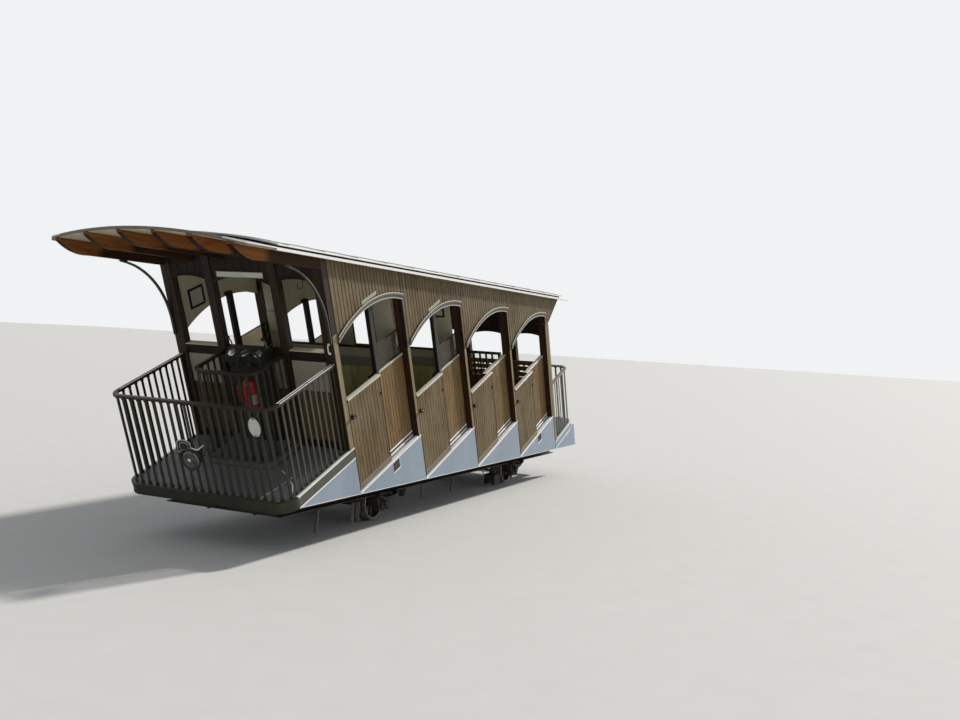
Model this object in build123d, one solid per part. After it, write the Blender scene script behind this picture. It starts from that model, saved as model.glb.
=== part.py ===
from build123d import *
import math
import os

# Funicular car with stepped compartments, standing on a level floor as it stands on its track.
# Car frame: +X downhill along the track, +Y to the far side, +Z up from the wheel flanges.
# Floor frame: x along the compartment floors, z along the door posts. Its origin is the
# uphill end of the first compartment's floor, on the skirts' lower line.

# Layout
TILT = 21.86                   # angle between compartment floors and track, degrees
BAY_LENGTH = 1508.0            # one compartment along its floor
BAYS = 4
BODY_WIDTH = 2070.0
UPHILL_DECK_LENGTH = 1296.0    # uphill platform, from the body to its outer fascia
UPHILL_DECK_RISE = 558.0       # uphill platform above the first compartment's floor
DOWNHILL_DECK_LENGTH = 965.0
DOWNHILL_DECK_RISE = 117.0     # downhill platform above the next step down
AXLE_BELOW_SKIRT = 269.0       # axle centres below the skirts' lower line

# Running gear
GAUGE_CENTRES = 1060.0         # between rail head centres
TREAD_RADIUS = 240.0
FLANGE_DEPTH = 25.0
FLANGE_WIDTH = 28.0
TYRE_WIDTH = 105.0
RIM_THICKNESS = 38.0
HUB_RADIUS = 82.0
SPOKES = 8
SPOKE_WIDTH = 44.0
SPOKE_DEPTH = 30.0
AXLE_RADIUS = 48.0
JOURNAL_RADIUS = 36.0
JOURNAL_CENTRES = 1400.0
WHEELBASE = 4300.0
AXLEBOX_SIZE = (190.0, 110.0, 150.0)
SOLEBAR_TOP = -29.0            # below the skirts' lower line
SOLEBAR_HEIGHT = 140.0
SOLEBAR_WIDTH = 78.0
SOLEBAR_WEB = 12.0
SOLEBAR_START = -1090.0
SOLEBAR_SHORT = 309.0          # the solebars stop short of the skirts' downhill tip
PEDESTAL_THICKNESS = 26.0
CROSS_WIDTH = 70.0
ROPE_PIN_RADIUS = 22.5

# Body shell
SHEET = 30.0                   # skirts
SKIRT_LIP = 18.0               # folded edge below the skirts' lower line
FLOOR = 30.0
RISER = 40.0
DECK_DEPTH = 117.0
DECK_PLATE = 28.0
FASCIA = 12.0
DECK_CORNER = 170.0
WALL = 50.0
POST_LENGTH = 65.0             # door posts, along the floor
POST_DEPTH = 120.0             # door posts, across the car
END_WALL = 90.0                # end posts, along the floor
CORNER_POST_WIDTH = 125.0
DOOR_POST_WIDTH = 95.0         # posts of the end walls' middle opening
END_OPENING = 740.0            # middle opening of the end walls
END_SILL_RISE = 1130.0         # end walls' sill above the platform
END_HEAD_RISE = 1935.0         # end walls' openings end here above the platform
END_HEAD_ARCH = 80.0           # rise of the middle opening's head
SIDE_HEAD_ARCH = 38.0
ARCH_SPRING = 1775.0
ARCH_RISE = 170.0
ARCH_TRIM = 66.0
ARCH_TRIM_PROUD = 16.0
BRACE_DROP = 130.0             # the side wall's foot at the downhill corner, below the springing

# Doors
DOOR_LENGTH = 735.0
DOOR_THICKNESS = 34.0
DOOR_FOOT = 30.0
DOOR_TOP = 1120.0
DOOR_CAP = 24.0
DOOR_CAP_WIDTH = 54.0
DOOR_GAP = 5.0                 # between a closed door and its post
KNOB_FROM_EDGE = 45.0
KNOB_HEIGHT = 905.0
KNOB_RADIUS = 22.0
CATCH_RADIUS = 11.0            # small button near the door's other edge
CATCH_FROM_EDGE = 35.0
TRACK_WIDTH = 40.0             # flat bar on the skirt and floor edge that a door rolls on
TRACK_RISE = 12.0
TRACK_INSET = 2.0              # from the skirt's face
ROLLER_RADIUS = 14.0
ROLLER_WIDTH = 16.0
ROLLER_PLACES = (0.16, 0.84)   # shares of the door's length

# Fixed panels beside the doors, set in so that a door slides in front of them
PANEL_START = 700.0            # from the compartment's uphill end
PANEL_INSET = 87.0
PANEL_THICKNESS = 34.0
PANEL_FOOT = 30.0
PANEL_TOP = 1100.0
PANEL_CAP = 24.0
PANEL_CAP_PROUD = 10.0
PANEL_FOOT_BACK = 8.0          # the plinth stands back from the boards
GLAZED_BAYS = 2                # uphill compartments with mullions, glass screens and bench wings
MULLION_START = 800.0
MULLION_LENGTH = 45.0
MULLION_INSET = 75.0
MULLION_DEPTH = 48.0
SCREEN_TOP = 1400.0            # glass screens above the panels
SCREEN_THICKNESS = 6.0

# Roof, in the track frame
EAVE_HEIGHT = 2491.0
EAVE_OVERHANG = 102.0          # at the sides, from the skirts' face
ROOF_CAMBER = 111.0
ROOF_START = -2605.0
ROOF_PAST_BODY = 61.0          # downhill end, past the last riser's foot
ROOF_BOW = 84.0                # the roof's ends fall back this far at the sides
ROOF_CORNER = 120.0
ROOF_DECK = 26.0
COVER_GAP = 20.0
ROOF_COVER = 14.0
COVER_START = -1970.0
COVER_SHORT = 500.0            # the cover ends this far before the deck
SEAM_PITCH = 640.0
SEAM_WIDTH = 24.0
SEAM_RISE = 9.0
RAFTER_DEPTH = 128.0
RAFTER_WIDTH = 60.0
RAFTER_START = -2572.0
RAFTER_SHORT = 80.0            # the beams end this far before the deck
TAIL_START = -2515.0           # the outermost beams stop short of the inner ones
RAFTER_NOSE = 420.0            # the rafters' ends curve up over this length
RAFTERS = 6
SPANDREL_RADIUS = 957.0        # curved brackets between the corner posts and the roof beams
SPANDREL_BAR = 32.0
SPANDREL_FOOT = 1800.0
SPANDREL_BEND = 1955.0         # the brackets leave the corner posts here
BATTEN_WIDTH = 60.0
BATTEN_PLACES = (-1060.0, -530.0, 0.0, 530.0, 1060.0)

# Railings
RAIL_RISE = 1012.0             # hand rail top above its platform
RAIL_WIDTH = 50.0
RAIL_THICKNESS = 25.0
BALUSTER_WIDTH = 30.0
BALUSTER_THICKNESS = 8.0
BALUSTER_PITCH = 98.0
RAIL_INSET = 44.0              # from the platform's edge to the hand rail's middle
STAND_RISE = 92.0
STAND_LENGTH = 570.0
STAND_WIDTH = 780.0
STAND_RAIL_RISE = 1092.0       # driver's rail above the platform
STAND_CORNER = 120.0

# Benches
BENCH_HEIGHT = 430.0
BENCH_DEPTH = 400.0
BENCH_INSET = 204.0            # from the skirts' face
BOARD = 32.0
PARTITION_TOP = 1140.0
PARTITION_INSET = 150.0
WING_GAP = 7.0                 # the partitions' wings clear the roof beams by this much
INNER_RAIL_TOP = 1130.0
INNER_RAIL_POST = 40.0

# Clearances
SEAT_GAP = 0.3                 # pieces that rest on one another
JOURNAL_GAP = 0.08

os.makedirs("parts", exist_ok=True)

# Derived places
SIN = math.sin(math.radians(TILT))
COS = math.cos(math.radians(TILT))
BAY_DROP = BAY_LENGTH * SIN / COS
HALF = BODY_WIDTH / 2
BODY_END = BAYS * BAY_LENGTH
DOWNHILL_DECK_TOP = -(BAYS * BAY_DROP) + DOWNHILL_DECK_RISE
DOWNHILL_DECK_END = BODY_END + DOWNHILL_DECK_LENGTH
SKIRT_END = DOWNHILL_DECK_END / COS
MODEL_MIDDLE = (ROOF_START + SKIRT_END) / 2
SKIRT_ABOVE_RAIL = TREAD_RADIUS + AXLE_BELOW_SKIRT
LIFT = SKIRT_ABOVE_RAIL + FLANGE_DEPTH
AXLE_HEIGHT = -AXLE_BELOW_SKIRT
SOLEBAR_END = SKIRT_END - SOLEBAR_SHORT
AXLE_PLACES = [BAYS * BAY_LENGTH / COS / 2 - WHEELBASE / 2,
               BAYS * BAY_LENGTH / COS / 2 + WHEELBASE / 2]
ROOF_HALF_WIDTH = HALF + EAVE_OVERHANG
ROOF_RADIUS = (ROOF_HALF_WIDTH ** 2 + ROOF_CAMBER ** 2) / (2 * ROOF_CAMBER)
ROOF_END = BODY_END / COS + ROOF_PAST_BODY
COVER_END = ROOF_END - COVER_SHORT
RAFTER_END = ROOF_END - RAFTER_SHORT
RAFTER_OUTER = HALF - RAFTER_WIDTH / 2
RAFTER_PLACES = [-RAFTER_OUTER + number * 2 * RAFTER_OUTER / (RAFTERS - 1) for number in range(RAFTERS)]
BENCH_HALF = HALF - BENCH_INSET
PARTITION_HALF = HALF - PARTITION_INSET
WING_INNER = RAFTER_PLACES[-2] + RAFTER_WIDTH / 2 + WING_GAP
SLOPE = SIN / COS
BEARING_LINE = (SOLEBAR_TOP + SEAT_GAP) / COS   # floor-frame height of the solebars' top at x = 0


def roof_height(y, above=0.0):
    """Height of the roof deck's underside at y, in the track frame."""
    radius = ROOF_RADIUS + above
    centre = EAVE_HEIGHT + ROOF_CAMBER - ROOF_RADIUS
    return centre + math.sqrt(radius ** 2 - y ** 2)


def bay_origin(bay):
    """Uphill end of a compartment's floor, in the floor frame."""
    return bay * BAY_LENGTH, -bay * BAY_DROP


def track_to_floor(s, h):
    """Floor-frame place of a point given along and above the track."""
    return s * COS + h * SIN, h * COS - s * SIN


def floor_to_track(x, z):
    return x * COS - z * SIN, x * SIN + z * COS


def place_track(shape):
    return Pos(-MODEL_MIDDLE, 0, LIFT) * shape


def place_floor(shape):
    return place_track(Rot(0, -TILT, 0) * shape)


def block(x0, x1, y0, y1, z0, z1):
    """Box between two corners."""
    centre = ((x0 + x1) / 2, (y0 + y1) / 2, (z0 + z1) / 2)
    return Pos(*centre) * Box(abs(x1 - x0), abs(y1 - y0), abs(z1 - z0))


def outline(points):
    """Closed face in the x-z plane from its corners."""
    return make_face(Polyline(*[(x, 0, z) for x, z in points], close=True))


def across(face, y0, y1):
    """Sweep an x-z face across the car, from y0 to y1."""
    return Pos(0, min(y0, y1), 0) * extrude(face, amount=abs(y1 - y0), dir=(0, 1, 0))


def upright(face, z0, z1):
    """Sweep an x-y face upwards, from z0 to z1."""
    return Pos(0, 0, z0) * extrude(face, amount=z1 - z0, dir=(0, 0, 1))


def both_sides(shape):
    return shape, mirror(shape, about=Plane.XZ)


def below_roof(shape, y_outer):
    """Cut a floor-frame shape off just under the roof deck at y_outer."""
    height = roof_height(y_outer) - SEAT_GAP
    cutter = block(-6000, 12000, -3000, 3000, height, height + 6000)
    return shape - Rot(0, TILT, 0) * cutter


def notch_for_rafters(shape):
    """Let the inner roof beams through a board of an end wall."""
    for y in RAFTER_PLACES[1:-1]:
        low = roof_height(abs(y) + RAFTER_WIDTH / 2) - RAFTER_DEPTH - 2 * SEAT_GAP
        half = RAFTER_WIDTH / 2 + SEAT_GAP
        slot = block(-6000, 12000, y - half, y + half, low, low + 3000)
        shape -= Rot(0, TILT, 0) * slot
    return shape


def write(name, placed):
    """Write one sub-part, several solids as one compound."""
    solids = []
    for shape in placed:
        solids.extend(shape.solids())
    body = solids[0] if len(solids) == 1 else Compound(children=solids)
    export_step(body, f"parts/{name}.step")


# Wheelsets: one axle with two spoked wheels, turning as one
def wheel_blank():
    """Rim, flange, web of spokes and hub, turned about y, outer face towards -y."""
    outer = -TYRE_WIDTH / 2
    inner = TYRE_WIDTH / 2
    rim_in = TREAD_RADIUS - RIM_THICKNESS
    crest = TREAD_RADIUS + FLANGE_DEPTH
    profile = [(rim_in, outer), (TREAD_RADIUS - 6, outer), (TREAD_RADIUS, outer + 8),
               (TREAD_RADIUS, inner - FLANGE_WIDTH), (crest - 5, inner - FLANGE_WIDTH + 9),
               (crest, inner - 12), (crest - 4, inner), (rim_in, inner)]
    face = make_face(Polyline(*[(r, y, 0) for r, y in profile], close=True))
    rim = revolve(face, Axis.Y, 360)
    hub_profile = [(JOURNAL_RADIUS, -64), (HUB_RADIUS - 14, -64), (HUB_RADIUS, -40),
                   (HUB_RADIUS, 44), (HUB_RADIUS - 10, 58), (JOURNAL_RADIUS, 58)]
    hub_face = make_face(Polyline(*[(r, y, 0) for r, y in hub_profile], close=True))
    hub = revolve(hub_face, Axis.Y, 360)
    wheel = rim + hub
    reach = rim_in - HUB_RADIUS + 20
    for spoke in range(SPOKES):
        bar = Pos(HUB_RADIUS - 10 + reach / 2, 0, 0) * Box(reach, SPOKE_DEPTH, SPOKE_WIDTH)
        wheel += Rot(0, spoke * 360 / SPOKES, 0) * bar
    wheel -= Rot(90, 0, 0) * Cylinder(AXLE_RADIUS + SEAT_GAP / 10, 2 * TYRE_WIDTH)
    return wheel


def wheel_pair():
    tread_middle = GAUGE_CENTRES / 2 + FLANGE_WIDTH / 2
    near = Pos(0, -tread_middle, 0) * wheel_blank()
    return both_sides(near)


def axle():
    """Stepped axle: wheel seats inside, journals outside."""
    end = JOURNAL_CENTRES / 2 + AXLEBOX_SIZE[1] / 2 - 20
    seat = JOURNAL_CENTRES / 2 - AXLEBOX_SIZE[1] / 2 - 12
    half = [(0, 0), (AXLE_RADIUS, 0), (AXLE_RADIUS, seat - 6), (JOURNAL_RADIUS, seat),
            (JOURNAL_RADIUS, end - 4), (JOURNAL_RADIUS - 4, end), (0, end)]
    face = make_face(Polyline(*[(r, y, 0) for r, y in half], close=True))
    right = revolve(face, Axis.Y, 360)
    return right + mirror(right, about=Plane.XZ)


# Underframe: two channel solebars, cross members and the rope plate, with horn guides under it
def solebar():
    y = JOURNAL_CENTRES / 2
    top = SOLEBAR_TOP
    foot = top - SOLEBAR_HEIGHT
    bar = block(SOLEBAR_START, SOLEBAR_END, y - SOLEBAR_WIDTH / 2, y + SOLEBAR_WIDTH / 2, foot, top)
    hollow = SOLEBAR_WIDTH - SOLEBAR_WEB
    bar -= block(SOLEBAR_START - 1, SOLEBAR_END + 1, y - SOLEBAR_WIDTH / 2 + SOLEBAR_WEB,
                 y - SOLEBAR_WIDTH / 2 + SOLEBAR_WEB + hollow, foot + SOLEBAR_WEB, top - SOLEBAR_WEB)
    return bar


def pedestal(s):
    """Horn guides either side of an axle box, with their tie bar."""
    y = JOURNAL_CENTRES / 2
    half = AXLEBOX_SIZE[0] / 2 + SEAT_GAP
    foot = AXLE_HEIGHT - AXLEBOX_SIZE[2] / 2 - 22
    top = SOLEBAR_TOP - SOLEBAR_HEIGHT - SEAT_GAP
    y0, y1 = y - SOLEBAR_WIDTH / 2, y + SOLEBAR_WIDTH / 2
    guides = Part()
    for side in (-1, 1):
        inner = s + side * half
        tip = s + side * (half + PEDESTAL_THICKNESS)
        brace = s + side * (half + PEDESTAL_THICKNESS + 95)
        face = outline([(inner, top), (brace, top), (tip, foot + 40), (tip, foot), (inner, foot)])
        guides += across(face, y0, y1)
    tie = half + PEDESTAL_THICKNESS
    guides += block(s - tie, s + tie, y0, y1, foot - 16, foot)
    return guides


def cross_member(s):
    """Channel between the solebars, open towards the middle of the car."""
    y = JOURNAL_CENTRES / 2 - SOLEBAR_WIDTH / 2
    foot = SOLEBAR_TOP - SOLEBAR_HEIGHT
    outer = s - CROSS_WIDTH / 2
    inner = s + CROSS_WIDTH / 2
    if s > sum(AXLE_PLACES) / 2:
        outer, inner = inner, outer
    web = math.copysign(SOLEBAR_WEB, inner - outer)
    bar = block(outer, inner, -y, y, foot, SOLEBAR_TOP)
    return bar - block(outer + web, inner + web, -y, y, foot + SOLEBAR_WEB, SOLEBAR_TOP - SOLEBAR_WEB)


def rope_plate():
    """Two cheeks on the uphill headstock, bored for the haulage rope's socket pin."""
    s = SOLEBAR_START + CROSS_WIDTH / 2
    h = SOLEBAR_TOP - SOLEBAR_HEIGHT / 2
    cheek_face = outline([(s + 35, h - 62), (s - 95, h - 45), (s - 140, h - 18), (s - 140, h + 18),
                          (s - 95, h + 45), (s + 35, h + 62)])
    cheeks = Part()
    for y in (-52, 34):
        cheeks += across(cheek_face, y, y + 18)
    bore = Pos(s - 95, 0, h) * Rot(90, 0, 0) * Cylinder(ROPE_PIN_RADIUS, 200)
    return cheeks - bore


def underframe():
    frame = Part()
    for bar in both_sides(solebar()):
        frame += bar
    places = [SOLEBAR_START + CROSS_WIDTH / 2, SOLEBAR_END - CROSS_WIDTH / 2]
    middle = sum(AXLE_PLACES) / 2
    places += [AXLE_PLACES[0] - 420, AXLE_PLACES[0] + 420, middle, AXLE_PLACES[1] - 420,
               AXLE_PLACES[1] + 420]
    for s in places:
        frame += cross_member(s)
    return frame + rope_plate()


def axle_box():
    """Box with a bore for the journal, closed on its outer end."""
    length, width, height = AXLEBOX_SIZE
    y = -JOURNAL_CENTRES / 2
    body = Pos(0, y, 0) * Box(length, width, height)
    body += Pos(0, y - width / 2 - 10, 0) * Rot(90, 0, 0) * Cylinder(62, 20)
    bore = Pos(0, y + 12, 0) * Rot(90, 0, 0) * Cylinder(JOURNAL_RADIUS + JOURNAL_GAP, width)
    return body - bore


def axle_box_pad():
    length, width, height = AXLEBOX_SIZE
    low = AXLE_HEIGHT + height / 2 + SEAT_GAP
    high = SOLEBAR_TOP - SOLEBAR_HEIGHT - SEAT_GAP
    y = -JOURNAL_CENTRES / 2
    return block(-length / 2 + 30, length / 2 - 30, y - 34, y + 34, low, high)


def rail_brake():
    """Caliper hung over the rail head, from a post on a cross member."""
    h = SOLEBAR_TOP - SOLEBAR_HEIGHT
    jaw_top = h - 170
    low = 14 - SKIRT_ABOVE_RAIL
    y = -GAUGE_CENTRES / 2
    jaw = block(-110, 110, y - 88, y + 88, low, jaw_top)
    jaw -= block(-111, 111, y - 44, y + 44, low - 1, jaw_top - 62)
    jaw += block(-34, 34, y - 34, y + 34, jaw_top - 1, h - SEAT_GAP)
    return jaw


def rail_guard(s):
    """Flat bar hanging from the solebar towards the rail."""
    y = -JOURNAL_CENTRES / 2 + SOLEBAR_WIDTH / 2
    top = SOLEBAR_TOP - SOLEBAR_HEIGHT - SEAT_GAP
    low = 22 - SKIRT_ABOVE_RAIL
    bar = block(s - 30, s + 30, y - 14, y + 120, top - 14, top)
    return bar + block(s - 30, s + 30, y + 106, y + 120, low, top)


# Floors and skirts
def stepped_floor():
    """Floor plates and risers of the compartments, as one folded section."""
    head = UPHILL_DECK_RISE - DECK_DEPTH - SEAT_GAP
    top = [(0, head)]
    under = [(-RISER, head)]
    for bay in range(BAYS):
        x, z = bay_origin(bay)
        top += [(x, z), (x + BAY_LENGTH, z)]
        under += [(x - RISER, BEARING_LINE - (x - RISER) * SLOPE),
                  ((BEARING_LINE - z + FLOOR) / SLOPE, z - FLOOR),
                  (x + BAY_LENGTH - RISER, z - FLOOR)]
    foot = DOWNHILL_DECK_TOP - DECK_DEPTH
    top += [(BODY_END, foot)]
    under += [(BODY_END - RISER, foot)]
    half = HALF - SHEET - SEAT_GAP
    return across(outline(top + under[::-1]), -half, half)


def skirt():
    """Saw-toothed side sheet below the floors, one piece from end to end."""
    head = UPHILL_DECK_RISE - DECK_DEPTH - SEAT_GAP
    start = -(UPHILL_DECK_RISE - DECK_DEPTH) / SLOPE
    teeth = [(start, head), (0, head)]
    for bay in range(BAYS):
        x, z = bay_origin(bay)
        teeth += [(x, z), (x + BAY_LENGTH, z)]
    x, z = bay_origin(BAYS)
    deck_foot = DOWNHILL_DECK_TOP - DECK_DEPTH - SEAT_GAP
    teeth += [(x, deck_foot), (DOWNHILL_DECK_END, deck_foot)]
    teeth += [(DOWNHILL_DECK_END, -DOWNHILL_DECK_END * SLOPE), track_to_floor(SKIRT_END, -SKIRT_LIP),
              (start, -start * SLOPE - SKIRT_LIP / COS)]
    sheet = across(outline(teeth), -HALF, -HALF + SHEET)
    for bay in (0, BAYS - 1):
        x, z = bay_origin(bay)
        sheet -= block(x + 780, x + 880, -HALF - 1, -HALF + SHEET + 1, z - 140, z - 15)
    return sheet


def floor_bearers():
    """Triangular frames that carry each floor plate on the solebars."""
    plates = []
    y = JOURNAL_CENTRES / 2
    base = BEARING_LINE
    for bay in range(BAYS):
        x, z = bay_origin(bay)
        x0 = x + 60
        x1 = x + BAY_LENGTH - RISER - SEAT_GAP
        under = z - FLOOR - SEAT_GAP
        foot = base - x1 * SLOPE
        face = outline([(x0, under), (x1, under), (x1, foot), (x0, base - x0 * SLOPE)])
        inner_x = x1 - 90
        inner_z = under - 60
        slant = 50 / COS
        hole_start = (base - inner_z + slant) / SLOPE
        hole = outline([(hole_start, inner_z), (inner_x, inner_z),
                        (inner_x, base - inner_x * SLOPE + slant)])
        plates.append(across(face, y - 20, y + 20) - across(hole, y - 21, y + 21))
    return plates


# Platforms
def deck_face(length, inset):
    """Rounded platform outline, body side at x = 0, outer corners rounded."""
    half = HALF - inset
    radius = DECK_CORNER - inset
    end = length - inset
    lines = Polyline((inset, -half, 0), (end, -half, 0), (end, half, 0), (inset, half, 0), close=True)
    face = make_face(lines)
    corners = face.vertices().sort_by(Axis.X)[-2:]
    return fillet(corners, radius)


def deck(length):
    """Platform tray: top plate and a fascia all round, open below."""
    tray = upright(deck_face(length, 0), -DECK_DEPTH, 0)
    return tray - upright(deck_face(length, FASCIA), -DECK_DEPTH - 1, -DECK_PLATE)


def uphill_deck():
    return Pos(0, 0, UPHILL_DECK_RISE) * Rot(0, 0, 180) * deck(UPHILL_DECK_LENGTH)


def downhill_deck():
    return Pos(BODY_END, 0, DOWNHILL_DECK_TOP) * deck(DOWNHILL_DECK_LENGTH)


def rail_points(length, inset, start):
    half = HALF - inset
    end = length - inset
    return [(start, -half, 0), (end, -half, 0), (end, half, 0), (start, half, 0)]


def railing(points, corner, rise):
    """Hand rail on flat balusters, along a path that turns with round corners."""
    path = FilletPolyline(*points, radius=corner)
    start = Plane(origin=path @ 0, x_dir=(0, 0, 1), z_dir=path % 0)
    rail = sweep(start * Rectangle(RAIL_THICKNESS, RAIL_WIDTH), path=path)
    fence = Pos(0, 0, rise - RAIL_THICKNESS / 2) * rail
    count = round(path.length / BALUSTER_PITCH)
    bar_height = rise - RAIL_THICKNESS + 1
    for number in range(count + 1):
        at = number / count
        at = min(max(at, 0.5 * BALUSTER_WIDTH / path.length), 1 - 0.5 * BALUSTER_WIDTH / path.length)
        spot = path @ at
        heading = path % at
        turn = math.degrees(math.atan2(heading.Y, heading.X))
        bar = Box(BALUSTER_WIDTH, BALUSTER_THICKNESS, bar_height)
        fence += Pos(spot.X, spot.Y, bar_height / 2 + SEAT_GAP) * Rot(0, 0, turn) * bar
    return fence


def uphill_railing():
    points = rail_points(UPHILL_DECK_LENGTH, RAIL_INSET, END_WALL + SEAT_GAP)
    fence = railing(points, DECK_CORNER - RAIL_INSET, RAIL_RISE)
    return Pos(0, 0, UPHILL_DECK_RISE) * Rot(0, 0, 180) * fence


def downhill_railing():
    points = rail_points(DOWNHILL_DECK_LENGTH, RAIL_INSET, END_WALL + SEAT_GAP)
    fence = railing(points, DECK_CORNER - RAIL_INSET, RAIL_RISE)
    return Pos(BODY_END, 0, DOWNHILL_DECK_TOP) * fence


def driver_step():
    half = STAND_WIDTH / 2 + 30
    length = STAND_LENGTH + 30
    face = make_face(Polyline((0, -half, 0), (length, -half, 0), (length, half, 0), (0, half, 0), close=True))
    face = fillet(face.vertices().sort_by(Axis.X)[-2:], STAND_CORNER)
    step = upright(face, SEAT_GAP, STAND_RISE)
    return Pos(-END_WALL - SEAT_GAP, 0, UPHILL_DECK_RISE) * Rot(0, 0, 180) * step


def driver_railing():
    half = STAND_WIDTH / 2
    points = [(2, -half, 0), (STAND_LENGTH, -half, 0), (STAND_LENGTH, half, 0), (2, half, 0)]
    fence = railing(points, STAND_CORNER, STAND_RAIL_RISE - STAND_RISE)
    at = Pos(-END_WALL - SEAT_GAP, 0, UPHILL_DECK_RISE + STAND_RISE)
    return at * Rot(0, 0, 180) * fence


def control_desk():
    """Driver's desk against the end wall, with a sloped top on a narrow box."""
    foot = UPHILL_DECK_RISE + STAND_RISE + SEAT_GAP
    top = UPHILL_DECK_RISE + END_SILL_RISE + 30
    back = -END_WALL - SEAT_GAP
    profile = outline([(back, foot), (back, top), (back - 90, top), (back - 190, top - 60),
                       (back - 190, top - 110), (back - 120, top - 150), (back - 120, foot)])
    return across(profile, -250, 250)


# Body posts, walls and arches
def door_post(bay):
    """Post between two doors: stands on the floor above, runs up behind the wall."""
    x, z = bay_origin(bay)
    post = block(x - POST_LENGTH, x, -HALF, -HALF + POST_DEPTH, z + BAY_DROP + SEAT_GAP,
                 z + BAY_DROP + 2600)
    recess = z + ARCH_SPRING - SEAT_GAP
    if bay == BAYS:
        recess += BAY_DROP - BRACE_DROP
    post -= block(x - POST_LENGTH - 1, x + 1, -HALF - 1, -HALF + WALL + SEAT_GAP, recess, recess + 4000)
    return below_roof(post, HALF - WALL)


def mullion(bay):
    """Slim post from the floor to the roof between a door and its panel."""
    x, z = bay_origin(bay)
    start = x + MULLION_START
    y = -HALF + MULLION_INSET
    post = block(start, start + MULLION_LENGTH, y, y + MULLION_DEPTH, z + SEAT_GAP, z + BAY_DROP + 2600)
    return below_roof(post, HALF - MULLION_INSET)


def end_post_set(x0, x1, foot, wall_foot):
    """Corner and opening posts of an end wall. The side wall covers the corners above wall_foot."""
    posts = []
    inner = END_OPENING / 2
    cover = block(x0 - 1, x1 + 1, -HALF - 1, -HALF + WALL + SEAT_GAP, wall_foot - SEAT_GAP, foot + 4000)
    for y0, y1 in ((-HALF, -HALF + CORNER_POST_WIDTH), (-inner - DOOR_POST_WIDTH, -inner)):
        post = block(x0, x1, y0, y1, foot + SEAT_GAP, foot + 3000) - cover
        post = below_roof(post, abs(y0))
        posts.extend(both_sides(post))
    return posts


def end_head(x0, x1, foot):
    """Head board between the corner posts, arched over the middle opening."""
    half = HALF - CORNER_POST_WIDTH - SEAT_GAP
    head = foot + END_HEAD_RISE
    inner = END_OPENING / 2
    pieces = []
    spans = [(-half, -inner - DOOR_POST_WIDTH - SEAT_GAP), (-inner + SEAT_GAP, inner - SEAT_GAP),
             (inner + DOOR_POST_WIDTH + SEAT_GAP, half)]
    for y0, y1 in spans:
        rise = END_HEAD_ARCH if y0 < 0 < y1 else SIDE_HEAD_ARCH
        radius = (((y1 - y0) / 2) ** 2 + rise ** 2) / (2 * rise)
        board = block(x0 + 15, x1 - 15, y0, y1, head - rise, head + 1200)
        board -= Pos((x0 + x1) / 2, (y0 + y1) / 2, head - radius) * Rot(0, 90, 0) * Cylinder(radius, 400)
        pieces.append(notch_for_rafters(below_roof(board, max(abs(y0), abs(y1)))))
    return pieces


def end_panels(x0, x1, foot):
    """Lower boards of an end wall with their sill, between the posts."""
    half = HALF - CORNER_POST_WIDTH - SEAT_GAP
    inner = END_OPENING / 2
    pieces = []
    for y0, y1 in ((-half, -inner - DOOR_POST_WIDTH - SEAT_GAP), (-inner + SEAT_GAP, inner - SEAT_GAP),
                   (inner + DOOR_POST_WIDTH + SEAT_GAP, half)):
        board = block(x0 + 25, x1 - 25, y0, y1, foot + SEAT_GAP, foot + END_SILL_RISE - 40)
        board += block(x0 + 5, x1 - 5, y0, y1, foot + END_SILL_RISE - 40, foot + END_SILL_RISE)
        pieces.append(board)
    return pieces


def arch_circle(bay, grow=0.0):
    """Radius and centre of the arch over a compartment's opening."""
    x, z = bay_origin(bay)
    half = (BAY_LENGTH - POST_LENGTH) / 2
    radius = (half ** 2 + ARCH_RISE ** 2) / (2 * ARCH_RISE)
    return x + half, z + ARCH_SPRING + ARCH_RISE - radius, radius + grow


def side_wall():
    """Upper wall from end to end, with an arched opening over each compartment."""
    points = []
    for bay in range(BAYS):
        x, z = bay_origin(bay)
        points += [(x, z + ARCH_SPRING), (x + BAY_LENGTH - POST_LENGTH, z + ARCH_SPRING)]
        if bay < BAYS - 1:
            points += [(x + BAY_LENGTH - POST_LENGTH, z - BAY_DROP + ARCH_SPRING)]
    end_x = BODY_END + END_WALL
    brace_low = bay_origin(BAYS - 1)[1] + ARCH_SPRING - BRACE_DROP
    points += [(BODY_END - POST_LENGTH, brace_low), (end_x, brace_low)]
    roof_x, roof_z = track_to_floor(COVER_END + 60, roof_height(HALF) - SEAT_GAP)
    points += [(roof_x, roof_z)]
    top_x, top_z = track_to_floor(0, roof_height(HALF) - SEAT_GAP)
    points += [(0, top_z + top_x * SLOPE)]
    wall = across(outline(points), -HALF, -HALF + WALL)
    for bay in range(BAYS):
        cx, cz, radius = arch_circle(bay)
        x, z = bay_origin(bay)
        disc = Pos(cx, -HALF + WALL / 2, cz) * Rot(90, 0, 0) * Cylinder(radius, WALL + 2)
        keep = block(x, x + BAY_LENGTH - POST_LENGTH, -HALF - 1, -HALF + WALL + 1,
                     z + ARCH_SPRING - 1, z + ARCH_SPRING + ARCH_RISE + 1)
        wall -= disc & keep
    return wall


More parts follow.
